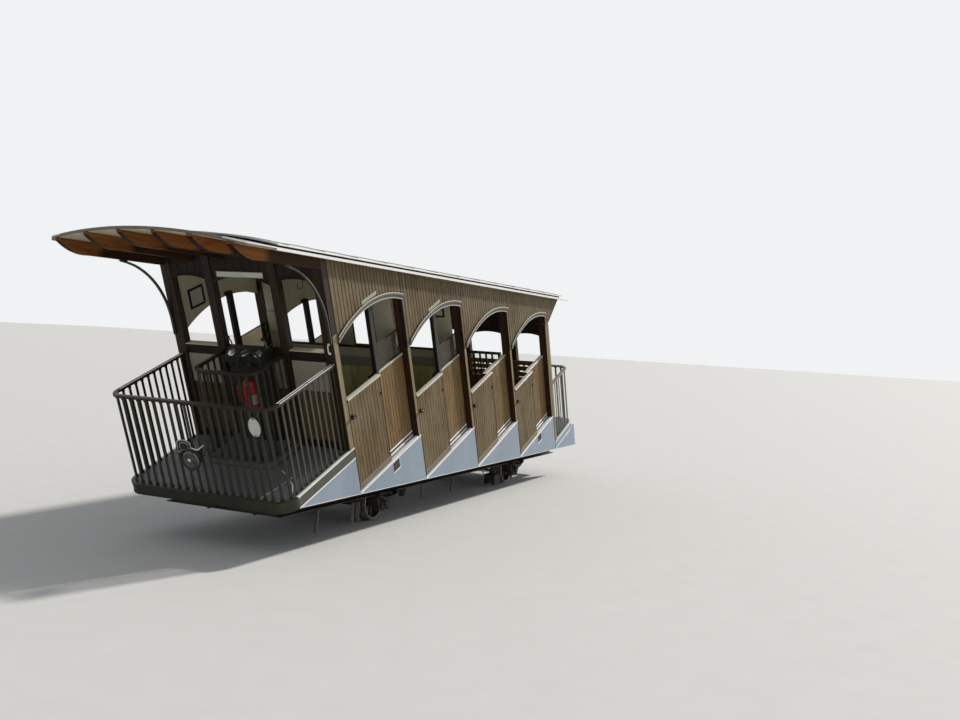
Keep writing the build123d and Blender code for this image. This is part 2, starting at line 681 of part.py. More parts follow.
def arch_trim(bay):
    """Moulding over an arch: two steps, proud of the wall."""
    x, z = bay_origin(bay)
    trim = Part()
    for grow0, grow1, proud in ((0.0, ARCH_TRIM * 0.55, ARCH_TRIM_PROUD),
                                (ARCH_TRIM * 0.55, ARCH_TRIM, ARCH_TRIM_PROUD * 1.6)):
        cx, cz, inner = arch_circle(bay, grow0)
        outer = arch_circle(bay, grow1)[2]
        ring = Cylinder(outer, proud) - Cylinder(inner, proud + 2)
        trim += Pos(cx, -HALF - proud / 2 - SEAT_GAP, cz) * Rot(90, 0, 0) * ring
    keep = block(x + 2, x + BAY_LENGTH - POST_LENGTH + 28, -HALF - 60, -HALF, z + ARCH_SPRING + 4,
                 z + ARCH_SPRING + ARCH_RISE + 200)
    return trim & keep


def panel_spans(bay):
    """Where a panel starts and ends along the floor. A mullion splits it in two."""
    end = BAY_LENGTH - POST_LENGTH - SEAT_GAP
    if bay >= GLAZED_BAYS:
        return [(PANEL_START, end)]
    return [(PANEL_START, MULLION_START - SEAT_GAP), (MULLION_START + MULLION_LENGTH + SEAT_GAP, end)]


def side_panel(bay):
    """Fixed panel beside a door, with its plinth and cap rail."""
    x, z = bay_origin(bay)
    outer = -HALF + PANEL_INSET
    inner = outer + PANEL_THICKNESS
    pieces = []
    for start, end in panel_spans(bay):
        panel = block(start, end, outer, inner, PANEL_FOOT, PANEL_TOP - PANEL_CAP)
        panel += block(start, end, outer - PANEL_CAP_PROUD, inner + PANEL_CAP_PROUD, PANEL_TOP - PANEL_CAP,
                       PANEL_TOP)
        panel += block(start, end, outer + PANEL_FOOT_BACK, inner, SEAT_GAP, PANEL_FOOT)
        pieces.append(Pos(x, 0, z) * panel)
    return pieces


def glass_screen(bay):
    """Pane that stands on a panel's cap rail, between the mullion and the door post."""
    x, z = bay_origin(bay)
    start, end = panel_spans(bay)[-1]
    middle = -HALF + PANEL_INSET + PANEL_THICKNESS / 2
    pane = block(start, end, middle - SCREEN_THICKNESS / 2, middle + SCREEN_THICKNESS / 2,
                 PANEL_TOP + SEAT_GAP, SCREEN_TOP)
    return Pos(x, 0, z) * pane


# Sliding doors and their tracks
def door(bay):
    """Slatted leaf with a cap rail, two rollers under it, a turned knob and a small catch button."""
    x, z = bay_origin(bay)
    leaf = block(DOOR_GAP, DOOR_LENGTH, -HALF, -HALF + DOOR_THICKNESS, DOOR_FOOT, DOOR_TOP - DOOR_CAP)
    proud = (DOOR_CAP_WIDTH - DOOR_THICKNESS) / 2
    leaf += block(DOOR_GAP, DOOR_LENGTH, -HALF - proud, -HALF + DOOR_THICKNESS + proud,
                  DOOR_TOP - DOOR_CAP, DOOR_TOP)
    roller = Rot(90, 0, 0) * Cylinder(ROLLER_RADIUS, ROLLER_WIDTH)
    roller_height = TRACK_RISE + SEAT_GAP + ROLLER_RADIUS
    for share in ROLLER_PLACES:
        leaf += Pos(share * DOOR_LENGTH, -HALF + DOOR_THICKNESS / 2, roller_height) * roller
    knob_profile = [(0, 0), (27, 0), (27, 5), (9, 8), (9, 20), (KNOB_RADIUS - 4, 26), (KNOB_RADIUS, 34),
                    (KNOB_RADIUS, 40), (KNOB_RADIUS - 5, 48), (8, 54), (0, 54)]
    face = make_face(Polyline(*[(r, -y, 0) for r, y in knob_profile], close=True))
    knob = revolve(face, Axis.Y, 360)
    leaf += Pos(DOOR_GAP + KNOB_FROM_EDGE, -HALF + 0.5, KNOB_HEIGHT) * knob
    button = Rot(90, 0, 0) * Cylinder(CATCH_RADIUS, 24)
    leaf += Pos(DOOR_LENGTH - CATCH_FROM_EDGE, -HALF, KNOB_HEIGHT) * button
    return Pos(x, 0, z) * leaf


def door_track(bay):
    """Flat bar along a compartment's edge, from post to post."""
    x, z = bay_origin(bay)
    y = -HALF + TRACK_INSET
    return block(x + DOOR_GAP, x + BAY_LENGTH - POST_LENGTH - DOOR_GAP, y, y + TRACK_WIDTH, z + SEAT_GAP,
                 z + TRACK_RISE)


# Roof
def roof_shell(start, end, low, high):
    """Barrel-curved sheet between two offsets above the deck's underside."""
    centre = EAVE_HEIGHT + ROOF_CAMBER - ROOF_RADIUS
    width = ROOF_HALF_WIDTH
    points = []
    for above, order in ((low, (-1, 0, 1)), (high, (1, 0, -1))):
        radius = ROOF_RADIUS + above
        for place in order:
            y = place * width
            points.append((start, y, centre + math.sqrt(radius ** 2 - y ** 2)))
    edge = ThreePointArc(*points[:3]) + Line(points[2], points[3]) + ThreePointArc(*points[3:])
    edge += Line(points[5], points[0])
    return extrude(make_face(edge), amount=end - start, dir=(1, 0, 0))


def roof_deck():
    """Deck cut to the roof's plan, its ends bowed and its corners rounded."""
    start, end, side = ROOF_START, ROOF_END, ROOF_HALF_WIDTH
    edge = Line((start + ROOF_BOW, -side, 0), (end - ROOF_BOW, -side, 0))
    edge += ThreePointArc((end - ROOF_BOW, -side, 0), (end, 0, 0), (end - ROOF_BOW, side, 0))
    edge += Line((end - ROOF_BOW, side, 0), (start + ROOF_BOW, side, 0))
    edge += ThreePointArc((start + ROOF_BOW, side, 0), (start, 0, 0), (start + ROOF_BOW, -side, 0))
    plan = make_face(edge)
    plan = fillet(plan.vertices(), ROOF_CORNER)
    return roof_shell(start, end, 0, ROOF_DECK) & upright(plan, EAVE_HEIGHT - 500, EAVE_HEIGHT + 500)


def roof_cover():
    """Raised cover with standing seams across it."""
    low = ROOF_DECK + COVER_GAP
    cover = roof_shell(COVER_START, COVER_END, low, low + ROOF_COVER)
    seams = int((COVER_END - COVER_START) // SEAM_PITCH)
    first = (COVER_START + COVER_END - seams * SEAM_PITCH) / 2
    for number in range(seams + 1):
        s = first + number * SEAM_PITCH - SEAM_WIDTH / 2
        cover += roof_shell(s, s + SEAM_WIDTH, low + 1, low + ROOF_COVER + SEAM_RISE)
    return cover


def roof_battens():
    """Strips that hold the roof cover above the deck."""
    gap = SEAT_GAP / 2
    shell = roof_shell(COVER_START + 5, COVER_END - 5, ROOF_DECK + gap, ROOF_DECK + COVER_GAP - gap)
    strips = []
    for y in BATTEN_PLACES:
        zone = block(ROOF_START, ROOF_END, y - BATTEN_WIDTH / 2, y + BATTEN_WIDTH / 2, 2000, 3000)
        strips.append(shell & zone)
    return strips


def rafter_face(start, end, top, round_start, round_end):
    """Side outline of a roof beam whose ends curve up to a thin nose."""
    low = top - RAFTER_DEPTH
    nose = top - 22
    edge = Line((start, 0, top), (end, 0, top))
    if round_end:
        edge += Line((end, 0, top), (end, 0, nose))
        edge += ThreePointArc((end, 0, nose), (end - RAFTER_NOSE * 0.42, 0, low + 22),
                              (end - RAFTER_NOSE, 0, low))
        edge += Line((end - RAFTER_NOSE, 0, low), (start + (RAFTER_NOSE if round_start else 0), 0, low))
    else:
        edge += Line((end, 0, top), (end, 0, low))
        edge += Line((end, 0, low), (start + RAFTER_NOSE, 0, low))
    if round_start:
        edge += ThreePointArc((start + RAFTER_NOSE, 0, low), (start + RAFTER_NOSE * 0.42, 0, low + 22),
                              (start, 0, nose))
        edge += Line((start, 0, nose), (start, 0, top))
    else:
        edge += Line((start, 0, low), (start, 0, top))
    return make_face(edge)


def rafters():
    """Long inner beams from nose to nose, in the track frame."""
    beams = []
    for y in RAFTER_PLACES[1:-1]:
        top = roof_height(abs(y) + RAFTER_WIDTH / 2) - SEAT_GAP
        face = rafter_face(RAFTER_START, RAFTER_END, top, True, True)
        beams.append(across(face, y - RAFTER_WIDTH / 2, y + RAFTER_WIDTH / 2))
    return beams


def rafter_tail():
    """Outermost beam's exposed end in front of the uphill corner post."""
    top = roof_height(HALF) - SEAT_GAP
    face = rafter_face(TAIL_START, TAIL_START + 2600, top, True, False)
    beam = Rot(0, -TILT, 0) * block(-END_WALL - SEAT_GAP, 6000, -3000, 3000, -6000, 9000)
    return across(face, -HALF, -HALF + RAFTER_WIDTH) - beam


def spandrel():
    """Curved bracket between the uphill corner post and the outermost roof beam."""
    post = -END_WALL - SEAT_GAP
    centre = post - SPANDREL_RADIUS
    y0, y1 = -HALF, -HALF + WALL
    ring = Cylinder(SPANDREL_RADIUS, WALL) - Cylinder(SPANDREL_RADIUS - SPANDREL_BAR, WALL + 2)
    bar = Pos(centre, (y0 + y1) / 2, SPANDREL_BEND) * Rot(90, 0, 0) * ring
    bar = bar & block(centre, post, y0, y1, SPANDREL_BEND, SPANDREL_BEND + SPANDREL_RADIUS)
    bar += block(post - SPANDREL_BAR, post, y0, y1, SPANDREL_FOOT, SPANDREL_BEND)
    low = roof_height(HALF) - 2 * SEAT_GAP - RAFTER_DEPTH
    return bar - Rot(0, TILT, 0) * block(-6000, 12000, -3000, 3000, low, low + 6000)


# Inside and small outside pieces
def bench_back_x(bay):
    """Downhill face of a compartment's bench back."""
    return bay_origin(bay)[0] + BAY_LENGTH - RISER - 12


def bench(bay):
    """Bench across the compartment's downhill end: seat box and overhanging seat."""
    z = bay_origin(bay)[1]
    back = bench_back_x(bay)
    front = back - BENCH_DEPTH
    if bay < GLAZED_BAYS:
        back -= BOARD + SEAT_GAP
    half = BENCH_HALF
    seat_top = z + BENCH_HEIGHT
    body = block(front + 40, back, -half, half, z + SEAT_GAP, seat_top - BOARD)
    body += block(front, back, -half, half, seat_top - BOARD, seat_top)
    if bay == BAYS - 1:
        body += block(back - BOARD, back, -half, half, z + SEAT_GAP, DOWNHILL_DECK_TOP + END_SILL_RISE)
    return body


def partition(bay):
    """Board behind a bench, with a wing up to the roof at either side."""
    z = bay_origin(bay)[1]
    back = bench_back_x(bay)
    top = z + PARTITION_TOP
    wall = block(back - BOARD, back, -PARTITION_HALF, PARTITION_HALF, z + SEAT_GAP, top)
    wing = block(back - BOARD, back, -PARTITION_HALF, -WING_INNER, top - 1, top + 2400)
    for part in both_sides(below_roof(wing, PARTITION_HALF)):
        wall += part
    return wall


def inner_railing(bay):
    """Low railing behind a bench, on end posts from the floor."""
    z = bay_origin(bay)[1]
    back = bench_back_x(bay)
    middle = back - BOARD / 2
    top = z + INNER_RAIL_TOP
    seat = z + BENCH_HEIGHT
    inner = PARTITION_HALF - INNER_RAIL_POST
    fence = block(middle - RAIL_WIDTH / 2, middle + RAIL_WIDTH / 2, -PARTITION_HALF, PARTITION_HALF,
                  top - RAIL_THICKNESS, top)
    low = seat + 70
    fence += block(middle - 10, middle + 10, -inner - 1, inner + 1, low, low + 20)
    for post in both_sides(block(middle - 16, middle + 16, -PARTITION_HALF, -inner, z + SEAT_GAP,
                                 top - RAIL_THICKNESS + 1)):
        fence += post
    count = round(2 * inner / BALUSTER_PITCH)
    for number in range(1, count):
        y = -inner + number * 2 * inner / count
        fence += block(middle - BALUSTER_THICKNESS / 2, middle + BALUSTER_THICKNESS / 2,
                       y - BALUSTER_WIDTH / 2, y + BALUSTER_WIDTH / 2, low + 1, top - RAIL_THICKNESS + 1)
    return fence


def headlamp():
    """Round lamp on a short bracket in front of the uphill railing."""
    radius = 112.0
    centre_z = 985.0
    face_x = -(UPHILL_DECK_LENGTH - RAIL_INSET) - 30
    bowl_profile = [(0, 0), (58, 0), (radius - 8, 70), (radius, 84), (radius, 104), (radius - 10, 104),
                    (radius - 16, 96), (0, 112)]
    face = make_face(Polyline(*[(r, y, 0) for r, y in bowl_profile], close=True))
    lamp = Rot(0, 0, 90) * revolve(face, Axis.Y, 360)
    lamp = Pos(face_x, 0, centre_z) * lamp
    lamp += block(face_x - 2, face_x + 26 - SEAT_GAP, -60, 60, centre_z - 60, centre_z + 60)
    return lamp


# Build every sub-part
for name, place_x in (("uphill", AXLE_PLACES[0]), ("downhill", AXLE_PLACES[1])):
    shift = Pos(place_x, 0, AXLE_HEIGHT)
    write(f"{name}_axle", [place_track(shift * axle())])
    write(f"{name}_wheels", [place_track(shift * wheel) for wheel in wheel_pair()])

write("underframe", [place_track(underframe())])
boxes = []
pads = []
guides = []
for place_x in AXLE_PLACES:
    guides += [place_track(guide) for guide in both_sides(pedestal(place_x))]
    boxes += [place_track(box) for box in both_sides(Pos(place_x, 0, AXLE_HEIGHT) * axle_box())]
    pads += [place_track(pad) for pad in both_sides(Pos(place_x, 0, 0) * axle_box_pad())]
write("axle_boxes", boxes)
write("axle_box_pads", pads)
write("horn_guides", guides)
brake_place = AXLE_PLACES[1] - 420
write("rail_brakes", [place_track(brake) for brake in both_sides(Pos(brake_place, 0, 0) * rail_brake())])
guards = []
for place_x in (AXLE_PLACES[0] - 350, AXLE_PLACES[1] + 350):
    guards += [place_track(guard) for guard in both_sides(rail_guard(place_x))]
write("rail_guards", guards)

write("stepped_floor", [place_floor(stepped_floor())])
bearers = []
for bearer in floor_bearers():
    bearers += [place_floor(piece) for piece in both_sides(bearer)]
write("floor_bearers", bearers)
write("uphill_deck", [place_floor(uphill_deck())])
write("downhill_deck", [place_floor(downhill_deck())])
write("uphill_railing", [place_floor(uphill_railing())])
write("downhill_railing", [place_floor(downhill_railing())])
write("driver_step", [place_floor(driver_step())])
write("driver_railing", [place_floor(driver_railing())])
write("control_desk", [place_floor(control_desk())])
write("headlamp", [place_floor(headlamp())])

near_skirt, far_skirt = both_sides(skirt())
write("near_skirt", [place_floor(near_skirt)])
write("far_skirt", [place_floor(far_skirt)])
near_wall, far_wall = both_sides(side_wall())
write("near_upper_wall", [place_floor(near_wall)])
write("far_upper_wall", [place_floor(far_wall)])

near_posts = []
far_posts = []
near_trims = []
far_trims = []
near_panels = []
far_panels = []
mullions = []
tracks = []
benches = []
partitions = []
screens = []
for bay in range(BAYS):
    if bay > 0:
        near, far = both_sides(door_post(bay))
        near_posts.append(place_floor(near))
        far_posts.append(place_floor(far))
    near, far = both_sides(arch_trim(bay))
    near_trims.append(place_floor(near))
    far_trims.append(place_floor(far))
    for panel in side_panel(bay):
        near, far = both_sides(panel)
        near_panels.append(place_floor(near))
        far_panels.append(place_floor(far))
    tracks += [place_floor(track) for track in both_sides(door_track(bay))]
    near, far = both_sides(door(bay))
    write(f"near_door_{bay + 1}", [place_floor(near)])
    write(f"far_door_{bay + 1}", [place_floor(far)])
    benches.append(place_floor(bench(bay)))
    if bay < GLAZED_BAYS:
        partitions.append(place_floor(partition(bay)))
        screens += [place_floor(pane) for pane in both_sides(glass_screen(bay))]
        mullions += [place_floor(post) for post in both_sides(mullion(bay))]
near, far = both_sides(door_post(BAYS))
near_posts.append(place_floor(near))
far_posts.append(place_floor(far))
write("near_door_posts", near_posts)
write("far_door_posts", far_posts)
write("near_arch_trims", near_trims)
write("far_arch_trims", far_trims)
write("near_panels", near_panels)
write("far_panels", far_panels)
write("mullions", mullions)
write("door_tracks", tracks)
write("benches", benches)
write("partitions", partitions)
write("glass_screens", screens)
write("inner_railing", [place_floor(inner_railing(GLAZED_BAYS))])

brace_foot = bay_origin(BAYS - 1)[1] + ARCH_SPRING - BRACE_DROP
ends = (("uphill", -END_WALL, 0.0, UPHILL_DECK_RISE, UPHILL_DECK_RISE + 4000),
        ("downhill", BODY_END, BODY_END + END_WALL, DOWNHILL_DECK_TOP, brace_foot))
for name, x0, x1, foot, wall_foot in ends:
    write(f"{name}_end_posts", [place_floor(post) for post in end_post_set(x0, x1, foot, wall_foot)])
    write(f"{name}_end_head", [place_floor(board) for board in end_head(x0, x1, foot)])
    write(f"{name}_end_panels", [place_floor(panel) for panel in end_panels(x0, x1, foot)])

write("roof_deck", [place_track(roof_deck())])
write("roof_cover", [place_track(roof_cover())])
write("roof_battens", [place_track(strip) for strip in roof_battens()])
write("rafters", [place_track(beam) for beam in rafters()])
write("rafter_tails", [place_track(tail) for tail in both_sides(rafter_tail())])
write("spandrels", [place_floor(board) for board in both_sides(spandrel())])
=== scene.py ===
import bpy
import bmesh
import math
from mathutils import Matrix, Vector


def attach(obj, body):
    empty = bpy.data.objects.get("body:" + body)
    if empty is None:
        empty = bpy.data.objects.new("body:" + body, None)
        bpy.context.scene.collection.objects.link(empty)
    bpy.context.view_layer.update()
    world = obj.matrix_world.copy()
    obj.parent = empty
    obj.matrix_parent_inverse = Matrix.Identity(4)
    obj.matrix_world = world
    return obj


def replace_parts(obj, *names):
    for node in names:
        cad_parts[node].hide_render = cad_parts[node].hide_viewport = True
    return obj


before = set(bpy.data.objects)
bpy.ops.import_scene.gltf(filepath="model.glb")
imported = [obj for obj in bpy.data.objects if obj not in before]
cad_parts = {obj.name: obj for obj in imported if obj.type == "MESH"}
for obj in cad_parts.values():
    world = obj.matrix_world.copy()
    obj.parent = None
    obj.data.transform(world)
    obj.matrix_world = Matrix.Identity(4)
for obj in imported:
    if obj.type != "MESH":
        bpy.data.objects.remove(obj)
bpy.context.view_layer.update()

# Places shared with the CAD part, in metres. x runs along the compartment floors and z along the
# door posts; s and h run along and above the track. On one side of the car y counts outwards.
TILT = math.radians(21.86)
SIN = math.sin(TILT)
COS = math.cos(TILT)
SLOPE = SIN / COS
BAYS = 4
GLAZED_BAYS = 2
BAY = 1.508
DROP = BAY * SLOPE
HALF = 1.035
BODY_END = BAYS * BAY
DECK_UP = 0.558                        # uphill platform above the first floor
DECK_UP_LENGTH = 1.296
DECK_DOWN = 0.117 - BAYS * DROP
DECK_DOWN_LENGTH = 0.965
DECK_DEPTH = 0.117
UP_TIP = -DECK_UP_LENGTH
DOWN_TIP = BODY_END + DECK_DOWN_LENGTH
DECK_CORNER = 0.170
STAND_RISE = 0.092
STAND_LENGTH = 0.570
STAND_HALF = 0.390
STAND_CORNER = 0.120
STAND_RAIL_RISE = 1.092
SKIRT_END = (BODY_END + DECK_DOWN_LENGTH) / COS
SKIRT_LIP = 0.018
LIFT = 0.534
POST = 0.065
END_WALL = 0.090
CORNER_POST = 0.125
DOOR_POST = 0.095
END_OPENING = 0.370                    # half the middle opening of the end walls
WALL = 0.050
SPRING = 1.775
ARCH_RISE = 0.170
BRACE_DROP = 0.130
EAVE = 2.491
ROOF_HALF = 1.137
CAMBER = 0.111
ROOF_RADIUS = (ROOF_HALF ** 2 + CAMBER ** 2) / (2 * CAMBER)
ROOF_START = -2.605
ROOF_BOW = 0.084
ROOF_CORNER = 0.120
COVER_TOP = 0.060
ROOF_END = BODY_END / COS + 0.061
ROOF_DECK = 0.026
COVER_START = -1.970
COVER_END = ROOF_END - 0.500
MIDDLE = (ROOF_START + SKIRT_END) / 2
RAFTER_HALF = 0.030
RAFTER_PITCH = 0.402
DOOR_GAP = 0.005
DOOR = 0.735
DOOR_FOOT = 0.030
DOOR_TOP = 1.120
DOOR_CAP = 0.024
DOOR_THICK = 0.034
CAP_PROUD = 0.010
KNOB_X = 0.050
CATCH_X = 0.700
KNOB_Z = 0.905
PANEL_START = 0.700
PANEL_FACE = HALF - 0.087
PANEL_THICK = 0.034
PANEL_TOP = 1.100
MULLION_START = 0.800
MULLION_END = 0.845
RAIL_RISE = 1.012
RAIL_INSET = 0.044
HAND_RAIL = (0.055, 0.030, 0.011)      # width, height and edge radius
SEAT_GAP = 0.0003                      # railings and desk stand this far off the end wall
BALUSTER_PITCH = 0.098
END_SILL = 1.130
END_HEAD = 1.935
END_ARCH = 0.080
BENCH_HALF = 0.831
BENCH_TOP = 0.430
BENCH_DEPTH = 0.400
PARTITION_HALF = 0.885
PARTITION_TOP = 1.140
AXLE_AT = (("uphill", BODY_END / COS / 2 - 2.150), ("downhill", BODY_END / COS / 2 + 2.150))
AXLE_HEIGHT = -0.269
WHEEL_Y = 0.544
SOLEBAR_Y = 0.700
SOLEBAR_TOP = -0.029
SOLEBAR_FOOT = -0.169
BOARD = 0.068                          # pitch of the boards on walls, doors and panels
GROOVE = 0.010
MULLION_DEEP = 0.048
MULLION_OUT = HALF - 0.075             # outer face of the mullions
MULLION_BROAD = 0.882                  # where their wider upper part ends
SIDES = (("near", -1), ("far", 1))


def floor_at(x, y, z):
    """Car-frame point of a floor-frame place."""
    return Vector((x * COS - z * SIN - MIDDLE, y, x * SIN + z * COS + LIFT))


def track_at(s, y, h):
    """Car-frame point of a place along and above the track."""
    return Vector((s - MIDDLE, y, h + LIFT))


def outward(sign, place=floor_at):
    """Placing function for one side of the car, with y counted outwards."""
    return lambda x, y, z: place(x, sign * y, z)


def roof_under(y, above=0.0):
    """Height above the track of the roof deck's underside, or of a surface above it."""
    radius = ROOF_RADIUS + above
    return EAVE + CAMBER - ROOF_RADIUS + math.sqrt(radius ** 2 - y ** 2)


def roof_line(y):
    """Floor-frame height of the roof's underside as a function of x, at one side of the car."""
    height = roof_under(y) - 0.002
    return lambda x: (height - x * SIN) / COS


def bay_origin(bay):
    return bay * BAY, -bay * DROP


def arch_height(bay, x):
    """Floor-frame height of an arch's soffit at x."""
    start, floor = bay_origin(bay)
    half = (BAY - POST) / 2
    radius = (half ** 2 + ARCH_RISE ** 2) / (2 * ARCH_RISE)
    away = min(abs(x - start - half), half)
    return floor + SPRING + ARCH_RISE - radius + math.sqrt(radius ** 2 - away ** 2)


def bench_back(bay):
    return bay_origin(bay)[0] + BAY - 0.052


def panel_spans(bay):
    """Where a fixed panel starts and ends along the floor; a mullion splits it."""
    if bay >= GLAZED_BAYS:
        return [(PANEL_START, BAY - POST)]
    return [(PANEL_START, MULLION_START), (MULLION_END, BAY - POST)]


def arc(centre, radius, start, end, steps):
    """Points on an arc in a plane, angles in degrees."""
    points = []
    for k in range(steps + 1):
        angle = math.radians(start + (end - start) * k / steps)
        points.append((centre[0] + radius * math.cos(angle), centre[1] + radius * math.sin(angle)))
    return points


def polar(radius, angle):
    """Point at a distance and an angle in degrees."""
    return radius * math.cos(math.radians(angle)), radius * math.sin(math.radians(angle))


def around(centre, axis, radius, sides):
    """Ring of points about an axis."""
    side = axis.orthogonal().normalized()
    other = axis.cross(side)
    points = []
    for k in range(sides):
        angle = 2 * math.pi * k / sides
        points.append(centre + (side * math.cos(angle) + other * math.sin(angle)) * radius)
    return points


def rounded(width, height, radius, steps=3):
    """Section of a bar with rounded edges, as (outwards, up) pairs about its middle."""
    points = []
    for u, v, start in ((1, 1, 0), (-1, 1, 90), (-1, -1, 180), (1, -1, 270)):
        centre = (u * (width / 2 - radius), v * (height / 2 - radius))
        points += arc(centre, radius, start, start + 90, steps)
    return points


def turning_path(start, tip, half, corner, steps=8):
    """Plan of a railing or platform edge, from the near end round to the far end."""
    way = math.copysign(1, tip - start)
    points = [(start, -half)]
    for centre_y, first in ((corner - half, -90), (half - corner, 0)):
        for x, y in arc((0, centre_y), corner, first, first + 90, steps):
            points.append((tip - way * corner + way * x, y))
    return points + [(start, half)]


def walk(path, distance):
    """Point and heading at a distance along a path."""
    for (x0, y0), (x1, y1) in zip(path, path[1:]):
        size = math.hypot(x1 - x0, y1 - y0)
        if distance <= size:
            break
        distance -= size
    share = min(distance / size, 1.0)
    return (x0 + (x1 - x0) * share, y0 + (y1 - y0) * share), ((x1 - x0) / size, (y1 - y0) / size)


def length_of(path):
    return sum(math.dist(a, b) for a, b in zip(path, path[1:]))


def part_of(path, start, end):
    """Stretch of a path between two distances along it."""
    points = [walk(path, start)[0]]
    run = 0.0
    for a, b in zip(path, path[1:]):
        run += math.dist(a, b)
        if start + 1e-5 < run < end - 1e-5:
            points.append(b)
    return points + [walk(path, end)[0]]


class Shape:
    """Collects the points and faces of one piece, then makes its object."""

    def __init__(self, place=floor_at):
        self.place = place
        self.points = []
        self.faces = []

    def loft(self, rings, caps=True, closed=True):
        """Skin a row of equal rings."""
        rows = []
        for ring in rings:
            rows.append(range(len(self.points), len(self.points) + len(ring)))
            self.points += [self.place(*point) for point in ring]
        count = len(rings[0])
        for low, high in zip(rows, rows[1:]):
            for k in range(count if closed else count - 1):
                other = (k + 1) % count
                self.faces.append((low[k], low[other], high[other], high[k]))
        if caps and closed:
            self.faces.append(tuple(rows[0])[::-1])
            self.faces.append(tuple(rows[-1]))

    def bar(self, x0, x1, y0, y1, z0, z1, edge=0.002):
        """Box with its edges broken."""
        edge = min(edge, (x1 - x0) / 3, (y1 - y0) / 3, (z1 - z0) / 3)
        outline = [(y0 + edge, z0), (y1 - edge, z0), (y1, z0 + edge), (y1, z1 - edge),
            (y1 - edge, z1), (y0 + edge, z1), (y0, z1 - edge), (y0, z0 + edge)]
        middle_y, middle_z = (y0 + y1) / 2, (z0 + z1) / 2
        shrink_y = 1 - 2 * edge / (y1 - y0)
        shrink_z = 1 - 2 * edge / (z1 - z0)
        small = [(middle_y + (y - middle_y) * shrink_y, middle_z + (z - middle_z) * shrink_z)
            for y, z in outline]
        rings = []
        for x, section in ((x0, small), (x0 + edge, outline), (x1 - edge, outline), (x1, small)):
            rings.append([(x, y, z) for y, z in section])
        self.loft(rings)

    def board(self, x0, x1, low, high, face, proud):
        """Upright board between x0 and x1 with broken long edges, standing proud of y = face."""
        edge = 0.0025
        lift = math.copysign(abs(proud) - edge, proud)
        section = [(x0, 0), (x0, lift), (x0 + edge, proud), (x1 - edge, proud), (x1, lift), (x1, 0)]
        rings = []
        for ends in (low, high):
            rings.append([(x, face + dy, ends(x) if callable(ends) else ends) for x, dy in section])
        self.loft(rings)

    def across_board(self, y0, y1, z0, z1, face, proud):
        """Upright board between y0 and y1 with broken edges, standing proud of x = face."""
        edge = 0.0025
        lift = math.copysign(abs(proud) - edge, proud)
        section = [(y0, 0), (y0, lift), (y0 + edge, proud), (y1 - edge, proud), (y1, lift), (y1, 0)]
        rings = []
        for ends in (z0, z1):
            rings.append([(face + dx, y, ends(y) if callable(ends) else ends) for y, dx in section])
        self.loft(rings)

    def sweep(self, path, z, section, turn):
        """Carry an (outwards, up) section along a level path; turn is +1 downhill, -1 uphill."""
        rings = []
        for k, point in enumerate(path):
            before = path[max(k - 1, 0)]
            after = path[min(k + 1, len(path) - 1)]
            size = math.dist(before, after)
            out = (turn * (after[1] - before[1]) / size, turn * (before[0] - after[0]) / size)
            rings.append([(point[0] + out[0] * u, point[1] + out[1] * u, z + v) for u, v in section])
        self.loft(rings)

    def plate(self, points, z0, z1):
        """Level plate from its (x, y) corners."""
        self.loft([[(x, y, z) for x, y in points] for z in (z0, z1)])

    def facing(self, points, x0, x1):
        """Plate that faces along the car, from its (y, z) corners."""
        self.loft([[(x, y, z) for y, z in points] for x in (x0, x1)])

    def side_on(self, points, y0, y1):
        """Plate that faces sideways, from its (x, z) corners."""
        self.loft([[(x, y, z) for x, z in points] for y in (y0, y1)])

    def turned(self, centre, axis, profile, sides=24):
        """Turn a profile of (distance along the axis, radius) pairs."""
        axis = Vector(axis).normalized()
        rings = []
        for along, radius in profile:
            ring = around(Vector(centre) + axis * along, axis, radius, sides)
            rings.append([tuple(point) for point in ring])
        self.loft(rings)

    def hoop(self, centre, axis, radius, thickness, sides=36):
        """Round bar bent into a ring."""
        self.tube(around(Vector(centre), Vector(axis).normalized(), radius, sides), thickness, 8, True)

    def tube(self, path, radius, sides=10, closed=False):
        """Round bar along a path of points."""
        path = [Vector(point) for point in path]
        rings = []
        normal = None
        for k, point in enumerate(path):
            before = path[k - 1] if k or closed else point
            after = path[(k + 1) % len(path)] if closed or k + 1 < len(path) else point
            heading = (after - before).normalized()
            if normal is None:
                normal = heading.orthogonal()
            normal = (normal - heading * normal.dot(heading)).normalized()
            other = heading.cross(normal)
            ring = []
            for j in range(sides):
                angle = 2 * math.pi * j / sides
                ring.append(tuple(point + (normal * math.cos(angle) + other * math.sin(angle)) * radius))
            rings.append(ring)
        if closed:
            rings.append(rings[0])
        self.loft(rings, caps=not closed)

    def bolt(self, centre, axis, radius=0.009, height=0.007):
        """Hexagon head on a washer."""
        self.turned(centre, axis, [(-0.001, radius * 1.6), (0.002, radius * 1.6)], 12)
        self.turned(centre, axis, [(0.001, radius), (height * 0.8, radius), (height, radius * 0.8)], 6)

    def make(self, name, material, body="car", slot=None, smooth=None):
        mesh = bpy.data.meshes.new(name)
        mesh.from_pydata([tuple(point) for point in self.points], [], self.faces)
        work = bmesh.new()
        work.from_mesh(mesh)
        bmesh.ops.remove_doubles(work, verts=work.verts, dist=1e-6)
        bmesh.ops.recalc_face_normals(work, faces=work.faces)
        work.to_mesh(mesh)
        work.free()
        if smooth:
            mesh.shade_smooth()
            mesh.set_sharp_from_angle(angle=math.radians(smooth))
        mesh.materials.append(material)
        piece = bpy.data.objects.new(name, mesh)
        bpy.context.scene.collection.objects.link(piece)
        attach(piece, body)
        return piece


